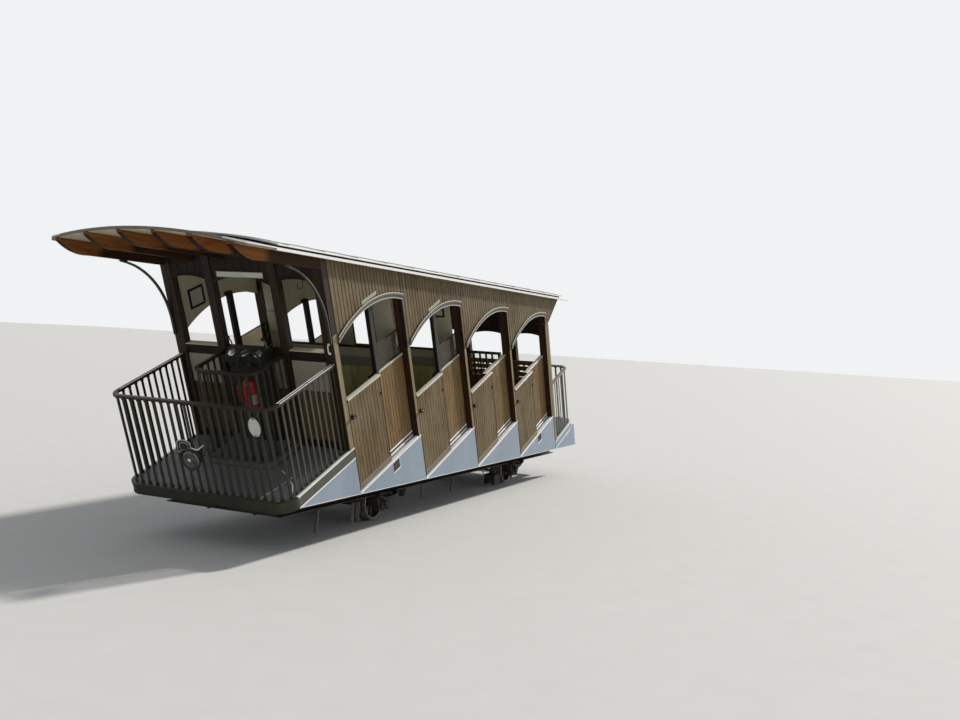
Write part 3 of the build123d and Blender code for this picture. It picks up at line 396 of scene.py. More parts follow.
# Materials
class Nodes:
    """Small helper for building one material's nodes."""

    def __init__(self, name):
        self.material = bpy.data.materials.new(name)
        self.material.use_nodes = True
        self.tree = self.material.node_tree
        self.shader = self.tree.nodes["Principled BSDF"]

    def add(self, kind, **values):
        node = self.tree.nodes.new(kind)
        for key, value in values.items():
            if key in node.inputs:
                node.inputs[key].default_value = value
            else:
                setattr(node, key, value)
        return node

    def link(self, source, target):
        self.tree.links.new(source, target)

    def drive(self, source, socket):
        self.link(source, self.shader.inputs[socket])

    def set(self, socket, value):
        self.shader.inputs[socket].default_value = value

    def coordinates(self, scale=(1.0, 1.0, 1.0), tilt=0.0):
        """Object coordinates, turned so that z follows the posts, then stretched."""
        place = self.add("ShaderNodeTexCoord")
        turn = self.add("ShaderNodeMapping")
        turn.inputs["Rotation"].default_value = (0, tilt, 0)
        stretch = self.add("ShaderNodeMapping")
        stretch.inputs["Scale"].default_value = scale
        self.link(place.outputs["Object"], turn.inputs["Vector"])
        self.link(turn.outputs["Vector"], stretch.inputs["Vector"])
        return stretch.outputs["Vector"]

    def noise(self, vector, scale, detail=4.0, rough=0.6, distortion=0.0):
        node = self.add("ShaderNodeTexNoise", Scale=scale, Detail=detail, Roughness=rough,
            Distortion=distortion)
        self.link(vector, node.inputs["Vector"])
        return node.outputs["Fac"]

    def ramp(self, factor, stops):
        node = self.add("ShaderNodeValToRGB")
        points = node.color_ramp.elements
        while len(points) < len(stops):
            points.new(0.5)
        for point, (place, colour) in zip(points, stops):
            point.position = place
            point.color = tuple(colour) + (1.0,)
        self.link(factor, node.inputs["Fac"])
        return node.outputs["Color"]

    def mix(self, factor, first, second, blend="MIX"):
        node = self.tree.nodes.new("ShaderNodeMix")
        node.data_type = "RGBA"
        node.blend_type = blend
        for value, socket in ((factor, 0), (first, 6), (second, 7)):
            if hasattr(value, "links"):
                self.link(value, node.inputs[socket])
            elif socket:
                node.inputs[socket].default_value = tuple(value)[:3] + (1.0,)
            else:
                node.inputs[socket].default_value = value
        return node.outputs[2]

    def spread(self, factor, low, high, start=0.3, end=0.7):
        node = self.add("ShaderNodeMapRange")
        for key, value in (("From Min", start), ("From Max", end), ("To Min", low), ("To Max", high)):
            node.inputs[key].default_value = value
        self.link(factor, node.inputs["Value"])
        return node.outputs["Result"]

    def bump(self, height, distance, strength=0.5):
        node = self.add("ShaderNodeBump", Strength=strength, Distance=distance)
        self.link(height, node.inputs["Height"])
        self.link(node.outputs["Normal"], self.shader.inputs["Normal"])


GRAIN_UP = (9.0, 9.0, 0.8)
GRAIN_ALONG = (0.8, 9.0, 9.0)
GRAIN_ACROSS = (9.0, 0.8, 9.0)
GRAIN_RELIEF = 0.0012                  # depth of the grain and of the paint's unevenness
PAINT_RELIEF = 0.0006
WOOD_SHINE = 0.16                      # kept low, so that dark surfaces stay dark beside a pale backdrop
PAINT_SHINE = 0.24
BEAM_SHINE = 0.05


def wood(name, pale, middle, dark, grain=GRAIN_UP, tilt=TILT, gloss=0.5, weather=None):
    """Boards whose grain, streaks and tone change from board to board."""
    made = Nodes(name)
    vector = made.coordinates(grain, tilt)
    island = made.add("ShaderNodeNewGeometry").outputs["Random Per Island"]
    shifted = made.add("ShaderNodeVectorMath", operation="ADD")
    offset = made.add("ShaderNodeCombineXYZ")
    jump = made.add("ShaderNodeMath", operation="MULTIPLY")
    jump.inputs[1].default_value = 37.0
    made.link(island, jump.inputs[0])
    made.link(jump.outputs[0], offset.inputs["X"])
    made.link(jump.outputs[0], offset.inputs["Z"])
    made.link(vector, shifted.inputs[0])
    made.link(offset.outputs[0], shifted.inputs[1])
    vector = shifted.outputs[0]
    grain_noise = made.noise(vector, 2.6, 6.0, 0.65, 0.6)
    fine = made.noise(vector, 14.0, 3.0, 0.7, 0.2)
    colour = made.ramp(grain_noise, [(0.28, dark), (0.5, middle), (0.72, pale)])
    colour = made.mix(made.spread(fine, 0.0, 0.45, 0.45, 0.75), colour, dark)
    tone = made.ramp(island, [(0.0, (0.62, 0.62, 0.62)), (1.0, (1.0, 1.0, 1.0))])
    colour = made.mix(0.55, colour, tone, "MULTIPLY")
    if weather:
        patch = made.noise(made.coordinates(), 1.6, 5.0, 0.7)
        colour = made.mix(made.spread(patch, 0.0, 0.7, 0.42, 0.68), colour, weather)
    made.drive(colour, "Base Color")
    made.drive(made.spread(fine, gloss - 0.1, gloss + 0.18), "Roughness")
    made.set("Specular IOR Level", WOOD_SHINE)
    made.bump(grain_noise, GRAIN_RELIEF, 0.5)
    return made.material


def paint(name, colour, worn, rough=0.4, dust=None, metallic=0.0, patch_scale=1.3, wear=0.35):
    """Painted sheet with uneven tone, worn flecks and streaks of dust."""
    made = Nodes(name)
    even = made.coordinates()
    patch = made.noise(even, patch_scale, 5.0, 0.65)
    fleck = made.noise(even, 38.0, 5.0, 0.75)
    shade = [value * 0.82 for value in colour]
    tone = made.ramp(patch, [(0.32, shade), (0.68, colour)])
    tone = made.mix(made.spread(fleck, 0.0, wear, 0.58, 0.74), tone, worn)
    if dust:
        streak = made.noise(made.coordinates((7.0, 7.0, 0.7), TILT), 1.5, 5.0, 0.7)
        tone = made.mix(made.spread(streak, 0.0, 0.42, 0.48, 0.72), tone, dust)
    made.drive(tone, "Base Color")
    made.set("Metallic", metallic)
    made.set("Specular IOR Level", PAINT_SHINE)
    made.drive(made.spread(fleck, rough - 0.08, rough + 0.16), "Roughness")
    made.bump(fleck, PAINT_RELIEF, 0.35)
    return made.material


OLIVE_BOARDS = wood("olive_boards", (0.203, 0.144, 0.065), (0.140, 0.095, 0.039), (0.060, 0.038, 0.016),
    weather=(0.185, 0.145, 0.080))
GOLD_BOARDS = wood("gold_boards", (0.275, 0.175, 0.072), (0.190, 0.115, 0.042), (0.080, 0.046, 0.016),
    weather=(0.215, 0.150, 0.080))
WALL_BOARDS = wood("wall_boards", (0.212, 0.155, 0.078), (0.148, 0.104, 0.050), (0.062, 0.040, 0.018),
    weather=(0.182, 0.147, 0.090))
INNER_BOARDS = wood("inner_boards", (0.190, 0.120, 0.060), (0.120, 0.074, 0.038), (0.060, 0.036, 0.020))
# Dark red-brown wood, darkened as painted shade for the posts' sides that face away from the light.
MAHOGANY_AND_PAINTED_SHADE = wood("mahogany_and_painted_shade", (0.070, 0.032, 0.018), (0.042, 0.019, 0.011), (0.020, 0.010, 0.006), gloss=0.42)
# End posts: darkened as painted shade of the car's ends.
END_POST = wood("end_post", (0.058, 0.034, 0.020), (0.034, 0.020, 0.012), (0.016, 0.010, 0.007), gloss=0.38)
POST_FACE = wood("post_face", (0.315, 0.258, 0.158), (0.230, 0.184, 0.105), (0.125, 0.096, 0.052))
SOFFIT_WOOD = wood("soffit_wood", (0.80, 0.73, 0.56), (0.66, 0.59, 0.43), (0.40, 0.33, 0.21),
    grain=GRAIN_ALONG, tilt=0.0)
# End-wall heads: near black as painted shade under the roof's overhang.
HEAD_WOOD = wood("head_wood", (0.036, 0.019, 0.010), (0.021, 0.012, 0.007), (0.011, 0.007, 0.005))
DARK_WOOD = wood("dark_wood", (0.032, 0.019, 0.013), (0.020, 0.012, 0.009), (0.010, 0.007, 0.005),
    gloss=0.5)
CAP_WOOD = wood("cap_wood", (0.38, 0.32, 0.22), (0.29, 0.24, 0.155), (0.17, 0.13, 0.075),
    grain=GRAIN_ALONG, gloss=0.36)
# Caps' pale wood raised to near white as painted sunlight on their tops.
CAP_PAINTED_SUNLIGHT = wood("cap_painted_sunlight", (0.90, 0.88, 0.80), (0.84, 0.81, 0.71), (0.60, 0.54, 0.42),
    grain=GRAIN_ALONG, gloss=0.30)
BENCH_WOOD = wood("bench_wood", (0.30, 0.17, 0.07), (0.20, 0.11, 0.045), (0.09, 0.05, 0.02),
    grain=GRAIN_ACROSS, gloss=0.34)
# Partition boards far paler than the wood itself: painted light, so the shaded interior looks sunlit.
OLIVE_BAND = wood("olive_band", (0.78, 0.74, 0.32), (0.62, 0.58, 0.245), (0.38, 0.36, 0.155))
TRIM_PAINT = paint("trim_paint", (0.125, 0.110, 0.090), (0.085, 0.070, 0.050), 0.42,
    dust=(0.105, 0.090, 0.070))
# One cream paint in three tones: the wall lining brightened as painted light, the end walls darkened as
# painted shade, the partitions between.
LINING = paint("lining_cream", (0.64, 0.61, 0.42), (0.46, 0.42, 0.28), 0.5, dust=(0.52, 0.49, 0.33))
END_CREAM = paint("end_cream", (0.33, 0.30, 0.225), (0.24, 0.21, 0.15), 0.5, dust=(0.27, 0.245, 0.18))
CREAM = paint("cream_paint", (0.46, 0.43, 0.32), (0.33, 0.29, 0.20), 0.46, dust=(0.36, 0.33, 0.24))
SKIRT_PAINT = paint("skirt_paint", (0.272, 0.332, 0.408), (0.22, 0.24, 0.26), 0.36,
    dust=(0.24, 0.275, 0.315), wear=0.25)
# Near-white edge paint, raised above the paint's own white as painted highlight where the edges catch the
# sun.
WHITE_EDGE = paint("white_edge", (0.90, 0.90, 0.88), (0.64, 0.63, 0.59), 0.34, wear=0.25)
ROOF_PAINT = paint("roof_paint", (0.60, 0.61, 0.60), (0.38, 0.38, 0.36), 0.5, dust=(0.36, 0.37, 0.34))
DECK_PAINT = paint("deck_paint", (0.150, 0.155, 0.165), (0.26, 0.26, 0.26), 0.40, dust=(0.20, 0.19, 0.175),
    wear=0.6)
FLOOR_PAINT = paint("floor_paint", (0.20, 0.19, 0.175), (0.14, 0.13, 0.12), 0.5, dust=(0.26, 0.24, 0.21),
    wear=0.5)
# Uphill platform fascias: darkened as painted shade; the downhill platform uses the skirt paint.
FASCIA_PAINT = paint("fascia_paint", (0.072, 0.075, 0.056), (0.15, 0.15, 0.12), 0.36,
    dust=(0.11, 0.11, 0.085))
FASCIA_DARK = paint("fascia_dark", (0.036, 0.038, 0.025), (0.100, 0.100, 0.074), 0.40,
    dust=(0.053, 0.055, 0.037))
FRAME_BLACK = paint("frame_black", (0.022, 0.021, 0.019), (0.075, 0.052, 0.034), 0.55,
    dust=(0.060, 0.052, 0.042), wear=0.45)
WHEEL_IRON = paint("wheel_iron", (0.060, 0.042, 0.033), (0.14, 0.075, 0.045), 0.6,
    dust=(0.085, 0.068, 0.052), metallic=0.3, wear=0.6)
TREAD_STEEL = paint("tread_steel", (0.36, 0.34, 0.30), (0.22, 0.19, 0.16), 0.30, metallic=0.8)
DUSTY_STEEL = paint("dusty_steel", (0.17, 0.165, 0.145), (0.12, 0.08, 0.055), 0.5, dust=(0.13, 0.11, 0.085),
    metallic=0.2)
# Uphill rails and balusters: darkened as painted shade; the downhill railing takes the pale copies.
RAIL_BRONZE = paint("rail_bronze", (0.028, 0.016, 0.013), (0.10, 0.062, 0.045), 0.34, wear=0.3)
BALUSTER_PAINT = paint("baluster_paint", (0.042, 0.040, 0.026), (0.10, 0.090, 0.060), 0.40,
    dust=(0.066, 0.063, 0.046))
PALE_BALUSTER = paint("pale_baluster", (0.165, 0.170, 0.145), (0.12, 0.11, 0.085), 0.4,
    dust=(0.21, 0.205, 0.17))
PALE_RAIL = paint("pale_rail", (0.20, 0.192, 0.155), (0.13, 0.110, 0.080), 0.32)
SIDE_EDGE = paint("side_edge", (0.60, 0.59, 0.52), (0.36, 0.33, 0.26), 0.36, dust=(0.50, 0.48, 0.40))
KICK_PAINT = paint("kick_paint", (0.175, 0.150, 0.108), (0.26, 0.23, 0.18), 0.4, dust=(0.22, 0.195, 0.15))
DESK_PAINT = paint("desk_paint", (0.027, 0.029, 0.024), (0.14, 0.12, 0.10), 0.36)
MULLION_PAINT = paint("mullion_paint", (0.016, 0.022, 0.022), (0.045, 0.043, 0.038), 0.42,
    dust=(0.026, 0.032, 0.030))
KNOB_BRASS = paint("knob_brass", (0.060, 0.030, 0.020), (0.30, 0.17, 0.09), 0.20, metallic=0.6, wear=0.2)
STEEL = paint("bright_steel", (0.62, 0.62, 0.60), (0.38, 0.36, 0.33), 0.24, metallic=0.9)
RED_PAINT = paint("red_enamel", (0.25, 0.010, 0.012), (0.16, 0.012, 0.012), 0.24, wear=0.2)
BLACK_RUBBER = paint("black_rubber", (0.024, 0.024, 0.024), (0.06, 0.06, 0.058), 0.6)
PLATE_WHITE = paint("plate_enamel", (0.62, 0.64, 0.59), (0.36, 0.34, 0.29), 0.26, wear=0.2)
PLATE_GREEN = paint("plate_green", (0.42, 0.46, 0.38), (0.44, 0.45, 0.37), 0.3)
DARK_GREEN = paint("dark_green", (0.038, 0.046, 0.030), (0.085, 0.085, 0.060), 0.42)
GREEN_BAND = paint("green_band", (0.245, 0.27, 0.18), (0.32, 0.32, 0.24), 0.4)
PICTURE_CARD = paint("picture_card", (0.58, 0.55, 0.44), (0.40, 0.37, 0.29), 0.5, dust=(0.30, 0.33, 0.30),
    patch_scale=7.0)


def change_along(made, start, end):
    """Share from 0 to 1 between two places along the track, in object coordinates."""
    place = made.add("ShaderNodeTexCoord")
    parts = made.add("ShaderNodeSeparateXYZ")
    made.link(place.outputs["Object"], parts.inputs[0])
    return made.spread(parts.outputs["X"], 0.0, 1.0, start - MIDDLE, end - MIDDLE)


def rafter_wood_and_painted_shade():
    """Beams: orange as painted sunlight where the noses stick out, darker towards the body as painted
    shade, near black underneath as painted shade.
    """
    made = Nodes("rafter_wood_and_painted_shade")
    grain_noise = made.noise(made.coordinates(GRAIN_ALONG), 2.6, 6.0, 0.65, 0.6)
    # Painted sunlight tone for the noses, painted shade tone for the rest of each beam.
    nose = made.ramp(grain_noise, [(0.28, (0.11, 0.037, 0.010)), (0.5, (0.215, 0.080, 0.022)),
        (0.72, (0.29, 0.120, 0.038))])
    body = made.ramp(grain_noise, [(0.28, (0.020, 0.009, 0.005)), (0.5, (0.040, 0.018, 0.009)),
        (0.72, (0.062, 0.028, 0.014))])
    colour = made.mix(change_along(made, -2.05, -1.93), nose, body)
    # Faces that look down get a near-black painted shade.
    facing = made.add("ShaderNodeSeparateXYZ")
    made.link(made.add("ShaderNodeNewGeometry").outputs["True Normal"], facing.inputs[0])
    under = made.spread(facing.outputs["Z"], 1.0, 0.0, -0.75, -0.25)
    colour = made.mix(under, colour, (0.020, 0.011, 0.008))
    made.drive(colour, "Base Color")
    made.drive(made.spread(grain_noise, 0.42, 0.64), "Roughness")
    made.set("Specular IOR Level", BEAM_SHINE)
    made.bump(grain_noise, GRAIN_RELIEF, 0.5)
    return made.material


def deck_edge_paint():
    """Roof deck: bare dark wood at the uphill overhang, white painted edge beside the cover."""
    made = Nodes("roof_deck_paint")
    even = made.noise(made.coordinates(), 2.2, 5.0, 0.65)
    fleck = made.noise(made.coordinates(), 38.0, 5.0, 0.75)
    bare = made.ramp(even, [(0.3, (0.105, 0.092, 0.066)), (0.7, (0.150, 0.134, 0.098))])
    white = made.ramp(even, [(0.3, (0.74, 0.74, 0.72)), (0.7, (0.85, 0.85, 0.83))])
    white = made.mix(made.spread(fleck, 0.0, 0.3, 0.58, 0.74), white, (0.54, 0.53, 0.49))
    made.drive(made.mix(change_along(made, COVER_START - 0.012, COVER_START - 0.008), bare, white),
        "Base Color")
    made.drive(made.spread(fleck, 0.34, 0.54), "Roughness")
    made.bump(fleck, PAINT_RELIEF, 0.35)
    return made.material


def lamp_glass():
    """Dark headlamp lens with a clear, shiny face."""
    made = Nodes("lamp_glass")
    smudge = made.noise(made.coordinates(), 16.0, 4.0, 0.6)
    made.drive(made.ramp(smudge, [(0.3, (0.030, 0.036, 0.030)), (0.7, (0.085, 0.095, 0.080))]),
        "Base Color")
    made.drive(made.spread(smudge, 0.03, 0.12), "Roughness")
    made.set("Coat Weight", 0.8)
    made.set("Coat Roughness", 0.03)
    return made.material


def screen_glass():
    """Window glass with a film of dust on it."""
    made = Nodes("screen_glass")
    dirt = made.noise(made.coordinates(), 5.0, 6.0, 0.7)
    made.drive(made.ramp(dirt, [(0.3, (0.29, 0.25, 0.175)), (0.7, (0.175, 0.148, 0.100))]), "Base Color")
    made.drive(made.spread(dirt, 0.04, 0.30, 0.4, 0.8), "Roughness")
    made.set("Transmission Weight", 0.82)
    made.set("IOR", 1.15)
    return made.material


SCREEN_GLASS = screen_glass()
RAFTER_WOOD = rafter_wood_and_painted_shade()
ROOF_DECK_PAINT = deck_edge_paint()
LAMP_GLASS = lamp_glass()

NODE_MATERIALS = {}
for material, names in (
        (FRAME_BLACK, "underframe axle_boxes axle_box_pads rail_brakes rail_guards floor_bearers "
        "horn_guides roof_battens"),
        (WHEEL_IRON, "uphill_axle downhill_axle uphill_wheels downhill_wheels"),
        (FLOOR_PAINT, "stepped_floor"), (DECK_PAINT, "uphill_deck downhill_deck driver_step"),
        (SKIRT_PAINT, "near_skirt far_skirt"), (WHITE_EDGE, "door_tracks"),
        # Under the boards the doors, panels and upper walls are near black, so their grooves and the gaps
        # at the caps read as painted shade.
        (DARK_WOOD, "near_panels far_panels uphill_end_panels downhill_end_panels spandrels "
        "near_upper_wall far_upper_wall uphill_end_head downhill_end_head"), (BENCH_WOOD, "benches"),
        (CREAM, "partitions"), (SCREEN_GLASS, "glass_screens"),
        (DESK_PAINT, "inner_railing control_desk headlamp"), (MAHOGANY_AND_PAINTED_SHADE, "near_door_posts far_door_posts"),
        (MULLION_PAINT, "mullions"), (END_POST, "uphill_end_posts downhill_end_posts"),
        (RAFTER_WOOD, "rafters rafter_tails"), (TRIM_PAINT, "near_arch_trims far_arch_trims"),
        (ROOF_DECK_PAINT, "roof_deck"), (ROOF_PAINT, "roof_cover"),
        (BALUSTER_PAINT, "uphill_railing driver_railing"), (PALE_BALUSTER, "downhill_railing"),
):
    for name in names.split():
        NODE_MATERIALS[name] = material
# Each door's CAD leaf is near black too, for the same painted shade in its grooves and gaps.
for side, sign in SIDES:
    for number in range(1, BAYS + 1):
        NODE_MATERIALS[f"{side}_door_{number}"] = DARK_WOOD

for name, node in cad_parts.items():
    node.data.materials.clear()
    node.data.materials.append(NODE_MATERIALS[name])


# Curved roof brackets: the CAD ones run past their seat, so both are made again here
BRACKET_RADIUS = 0.957
BRACKET_SWEEP = 63.5                   # degrees of arc up to the seat under the outermost beam
BRACKET_STEPS = 24

bracket, bracket_highlight = Shape(), Shape()
for side, sign in SIDES:
    rings, edge_rings = [], []
    for k in range(BRACKET_STEPS + 3):
        if k < 3:
            x, z, way_x, way_z = -END_WALL - SEAT_GAP, 1.800 + 0.0775 * k, -1.0, 0.0
        else:
            angle = math.radians(BRACKET_SWEEP * (k - 2) / BRACKET_STEPS)
            way_x, way_z = -math.cos(angle), -math.sin(angle)
            x = -END_WALL - SEAT_GAP - BRACKET_RADIUS * (1 - math.cos(angle))
            z = 1.955 + BRACKET_RADIUS * math.sin(angle)
        section = []
        for across, depth in rounded(0.030, 0.020, 0.005, 2):
            section.append((x + way_x * (depth + 0.010), sign * (HALF - 0.019 + across),
                z + way_z * (depth + 0.010)))
        rings.append(section)
        # A thin pale strip along each bracket's outer edge is a painted highlight.
        edge = []
        for across, depth in rounded(0.003, 0.005, 0.001, 2):
            edge.append((x + way_x * (depth + 0.0175), sign * (HALF - 0.0045 + across),
                z + way_z * (depth + 0.0175)))
        edge_rings.append(edge)
    bracket.loft(rings)
    bracket_highlight.loft(edge_rings)
    for z in (1.825, 1.905):
        bracket.bolt((-END_WALL - 0.019, sign * (HALF - 0.019), z), (-1, 0, 0), 0.007, 0.006)
brackets = bracket.make("roof_brackets", DARK_GREEN, slot="post_wood", smooth=40)
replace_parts(brackets, "spandrels")
bracket_highlight.make("roof_bracket_painted_highlights", PALE_RAIL, slot="post_wood", smooth=40)
seats = Shape(track_at)
for y in (0.019 - HALF, HALF - 0.019):
    seats.bar(-1.672, -1.578, y - 0.017, y + 0.015, 2.364, 2.3825, 0.003)
    for s in (-1.655, -1.595):
        seats.bolt((s, y, 2.3645), (0, 0, -1), 0.006, 0.006)
seats.make("roof_bracket_seats", DARK_GREEN, slot="post_wood")


# Boarded walls
def spaced(start, end, width=BOARD, groove=GROOVE):
    """Board edges that fill a width evenly."""
    count = max(1, round((end - start) / width))
    step = (end - start) / count
    return [(start + k * step + groove / 2, start + (k + 1) * step - groove / 2) for k in range(count)]


def planked(start, end, first, groove=GROOVE):
    """Edges of boards at the fixed pitch, with the first groove at a known place."""
    cuts = [first + k * BOARD for k in range(60) if start + 0.012 < first + k * BOARD < end - 0.012]
    return [(a + groove / 2, b - groove / 2) for a, b in zip([start] + cuts, cuts + [end])]


WALL_FIRST_GROOVE = 0.077              # first grooves are measured from where the bay starts
DOOR_FIRST_GROOVE = 0.062
PANEL_FIRST_GROOVE = 0.7198
FINE_GROOVE = 0.005                    # between the boards of doors and panels
# The dark door shows in this strip as painted shade of the gap beside the panel.
DOOR_BARE_EDGE = 0.028                 # bare strip down a door's downhill edge
WALL_TOP = roof_line(HALF)
BRACE_LOW = bay_origin(BAYS - 1)[1] + SPRING - BRACE_DROP
BRACE_START = BODY_END + END_WALL
BRACE_END = (COVER_END + 0.060) * COS + roof_under(HALF) * SIN
BRACE_TOP = roof_under(HALF) * COS - (COVER_END + 0.060) * SIN


def brace_foot(x):
    """Lower edge of the side wall past the last post."""
    share = max(x - BRACE_START, 0.0) / (BRACE_END - BRACE_START)
    return BRACE_LOW + 0.002 + share * (BRACE_TOP - BRACE_LOW)


def wall_boards(sign, face, proud, wall_end, groove=GROOVE):
    shape = Shape(outward(sign))
    for bay in range(BAYS):
        x, z = bay_origin(bay)
        for x0, x1 in planked(x, x + BAY - POST, x + WALL_FIRST_GROOVE, groove):
            shape.board(x0, x1, lambda p: arch_height(bay, p) + 0.001, WALL_TOP, face, proud)
        foot = z + SPRING + 0.001 - (DROP if bay < BAYS - 1 else BRACE_DROP)
        shape.board(x + BAY - POST + groove, x + BAY - groove, foot, WALL_TOP, face, proud)
    for x0, x1 in planked(BODY_END, wall_end, BODY_END + WALL_FIRST_GROOVE, groove):
        shape.board(x0, x1, brace_foot, WALL_TOP, face, proud)
    return shape


for side, sign in SIDES:
    wall_boards(sign, HALF, 0.006, BRACE_END - 0.026).make(f"{side}_wall_boards", WALL_BOARDS,
        slot="slat_wood")
    wall_boards(sign, HALF - WALL, -0.005, BRACE_START, 0.0005).make(f"{side}_wall_lining", LINING,
        slot="wall_cream")
    foot = Shape(outward(sign))
    rings = []
    for x, z in ((BODY_END - POST, BRACE_LOW), (BRACE_START, BRACE_LOW), (BRACE_END, BRACE_TOP)):
        rings.append([(x, HALF - WALL - 0.004, z - 0.006), (x, HALF + 0.010, z - 0.006),
            (x, HALF + 0.010, z + 0.016), (x, HALF - WALL - 0.004, z + 0.016)])
    foot.loft(rings)
    foot.make(f"{side}_wall_foot", TRIM_PAINT, slot="trim_olive")
    top = Shape(outward(sign, track_at))
    under = roof_under(HALF + 0.02)
    top.bar(0.95, COVER_END, HALF + 0.0065, HALF + 0.022, under - 0.030, under - 0.003, 0.003)
    top.make(f"{side}_eave_strip", WALL_BOARDS, slot="slat_wood")
    plates, bands, beads = Shape(outward(sign)), Shape(outward(sign)), Shape(outward(sign))
    for bay in range(GLAZED_BAYS):
        x, z = bay_origin(bay)
        plates.side_on([(x + 0.560, z + 2.008), (x + 0.885, z + 2.026), (x + 0.885, z + 2.064),
            (x + 0.560, z + 2.046)], HALF + 0.0055, HALF + 0.0115)
        bands.side_on([(x + 0.578, z + 2.0240), (x + 0.867, z + 2.0405), (x + 0.867, z + 2.0485),
            (x + 0.578, z + 2.0320)], HALF + 0.0110, HALF + 0.0120)
    plates.make(f"{side}_blank_plates", PLATE_GREEN, slot="trim_olive")
    bands.make(f"{side}_blank_plate_bands", GREEN_BAND, slot="trim_olive")
    for bay in range(BAYS):
        start, floor = bay_origin(bay)
        half = (BAY - POST) / 2
        radius = (half ** 2 + ARCH_RISE ** 2) / (2 * ARCH_RISE)
        # The pale beads along each arch trim's edges are painted highlights.
        for inner, outer, y0, y1 in ((0.001, 0.009, 0.015, 0.019), (0.057, 0.067, 0.0246, 0.0286)):
            size = radius + (inner + outer) / 2
            level = math.asin((radius - ARCH_RISE + 0.005) / size)
            down = max(level, math.acos((half + 0.026) / size))
            up = math.pi - max(level, math.acos((half - 0.003) / size))
            rings = []
            for k in range(33):
                angle = math.degrees(down + (up - down) * k / 32)
                ring = []
                for grow, y in ((inner, y0), (outer, y0), (outer, y1), (inner, y1)):
                    dx, dz = polar(radius + grow, angle)
                    ring.append((start + half + dx, HALF + y, floor + SPRING + ARCH_RISE - radius + dz))
                rings.append(ring)
            beads.loft(rings)
    beads.make(f"{side}_arch_trim_beads", SIDE_EDGE, slot="trim_olive")


# Doors: boards, kick strips, beads and fittings that move with each leaf
for side, sign in SIDES:
    for bay in range(BAYS):
        x, z = bay_origin(bay)
        body = f"{side}_door_{bay + 1}"
        kick = z + DOOR_FOOT + 0.072
        top = z + DOOR_TOP - DOOR_CAP
        start, end = x + DOOR_GAP, x + DOOR
        boards = Shape(outward(sign))
        for x0, x1 in planked(start, end - DOOR_BARE_EDGE, x + DOOR_FIRST_GROOVE, FINE_GROOVE):
            boards.board(x0, x1, kick, top - 0.001, HALF, 0.004)
            boards.board(x0, x1, kick, top - 0.001, HALF - DOOR_THICK, -0.004)
        boards.make(f"{body}_boards", OLIVE_BOARDS, body, "slat_wood")
        strip = Shape(outward(sign))
        strip.bar(start + 0.001, end - 0.001, HALF - 0.001, HALF + 0.006, z + DOOR_FOOT, kick - 0.003,
            0.0015)
        strip.bar(start + 0.001, end - 0.001, HALF - DOOR_THICK - 0.006, HALF - DOOR_THICK + 0.001,
            z + DOOR_FOOT, kick - 0.003, 0.0015)
        for x0 in (start + 0.05, (start + end) / 2, end - 0.05):
            strip.bolt((x0, HALF + 0.006, z + DOOR_FOOT + 0.036), (0, 1, 0), 0.005, 0.004)
        strip.make(f"{body}_kick_strips", KICK_PAINT, body, "slat_wood")
        cap, bead = Shape(outward(sign)), Shape(outward(sign))
        face = HALF + CAP_PROUD
        cap.bar(start, end, face - 0.001, face + 0.004, top + 0.014, top + DOOR_CAP - 0.001, 0.0015)
        cap.bar(start, end, HALF - DOOR_THICK - CAP_PROUD, face, top + DOOR_CAP - 0.001,
            top + DOOR_CAP + 0.004, 0.003)
        cap.make(f"{body}_cap_strips", CAP_PAINTED_SUNLIGHT, body, "slat_wood")
        bead.bar(start, end, face - 0.001, face + 0.003, top + 0.001, top + 0.009, 0.0015)
        bead.make(f"{body}_cap_bead", CAP_WOOD, body, "slat_wood")
        knob = Shape(outward(sign))
        out = (0, 1, 0)
        knob.turned((x + KNOB_X, HALF + 0.0035, z + KNOB_Z), out,
            [(0, 0.034), (0.004, 0.034), (0.0065, 0.027), (0.009, 0.0125), (0.030, 0.0115)], 28)
        knob.turned((x + KNOB_X - 0.046, HALF + 0.038, z + KNOB_Z), (1, 0, 0),
            [(0, 0.006), (0.003, 0.013), (0.010, 0.0155), (0.024, 0.0120), (0.046, 0.0100),
            (0.068, 0.0120), (0.082, 0.0155), (0.089, 0.013), (0.092, 0.006)], 18)
        knob.turned((x + CATCH_X, HALF + 0.0035, z + KNOB_Z), out,
            [(0, 0.020), (0.003, 0.020), (0.004, 0.0135), (0.014, 0.0135), (0.0165, 0.010),
            (0.017, 0.002)], 20)
        for dx in (-0.024, 0.024):
            for dz in (-0.018, 0.018):
                knob.turned((x + KNOB_X + dx, HALF + 0.0070, z + KNOB_Z + dz), out,
                    [(0, 0.0035), (0.0018, 0.0030), (0.0022, 0.001)], 8)
        knob.make(f"{body}_handle_and_catch", KNOB_BRASS, body, "slat_wood", 40)


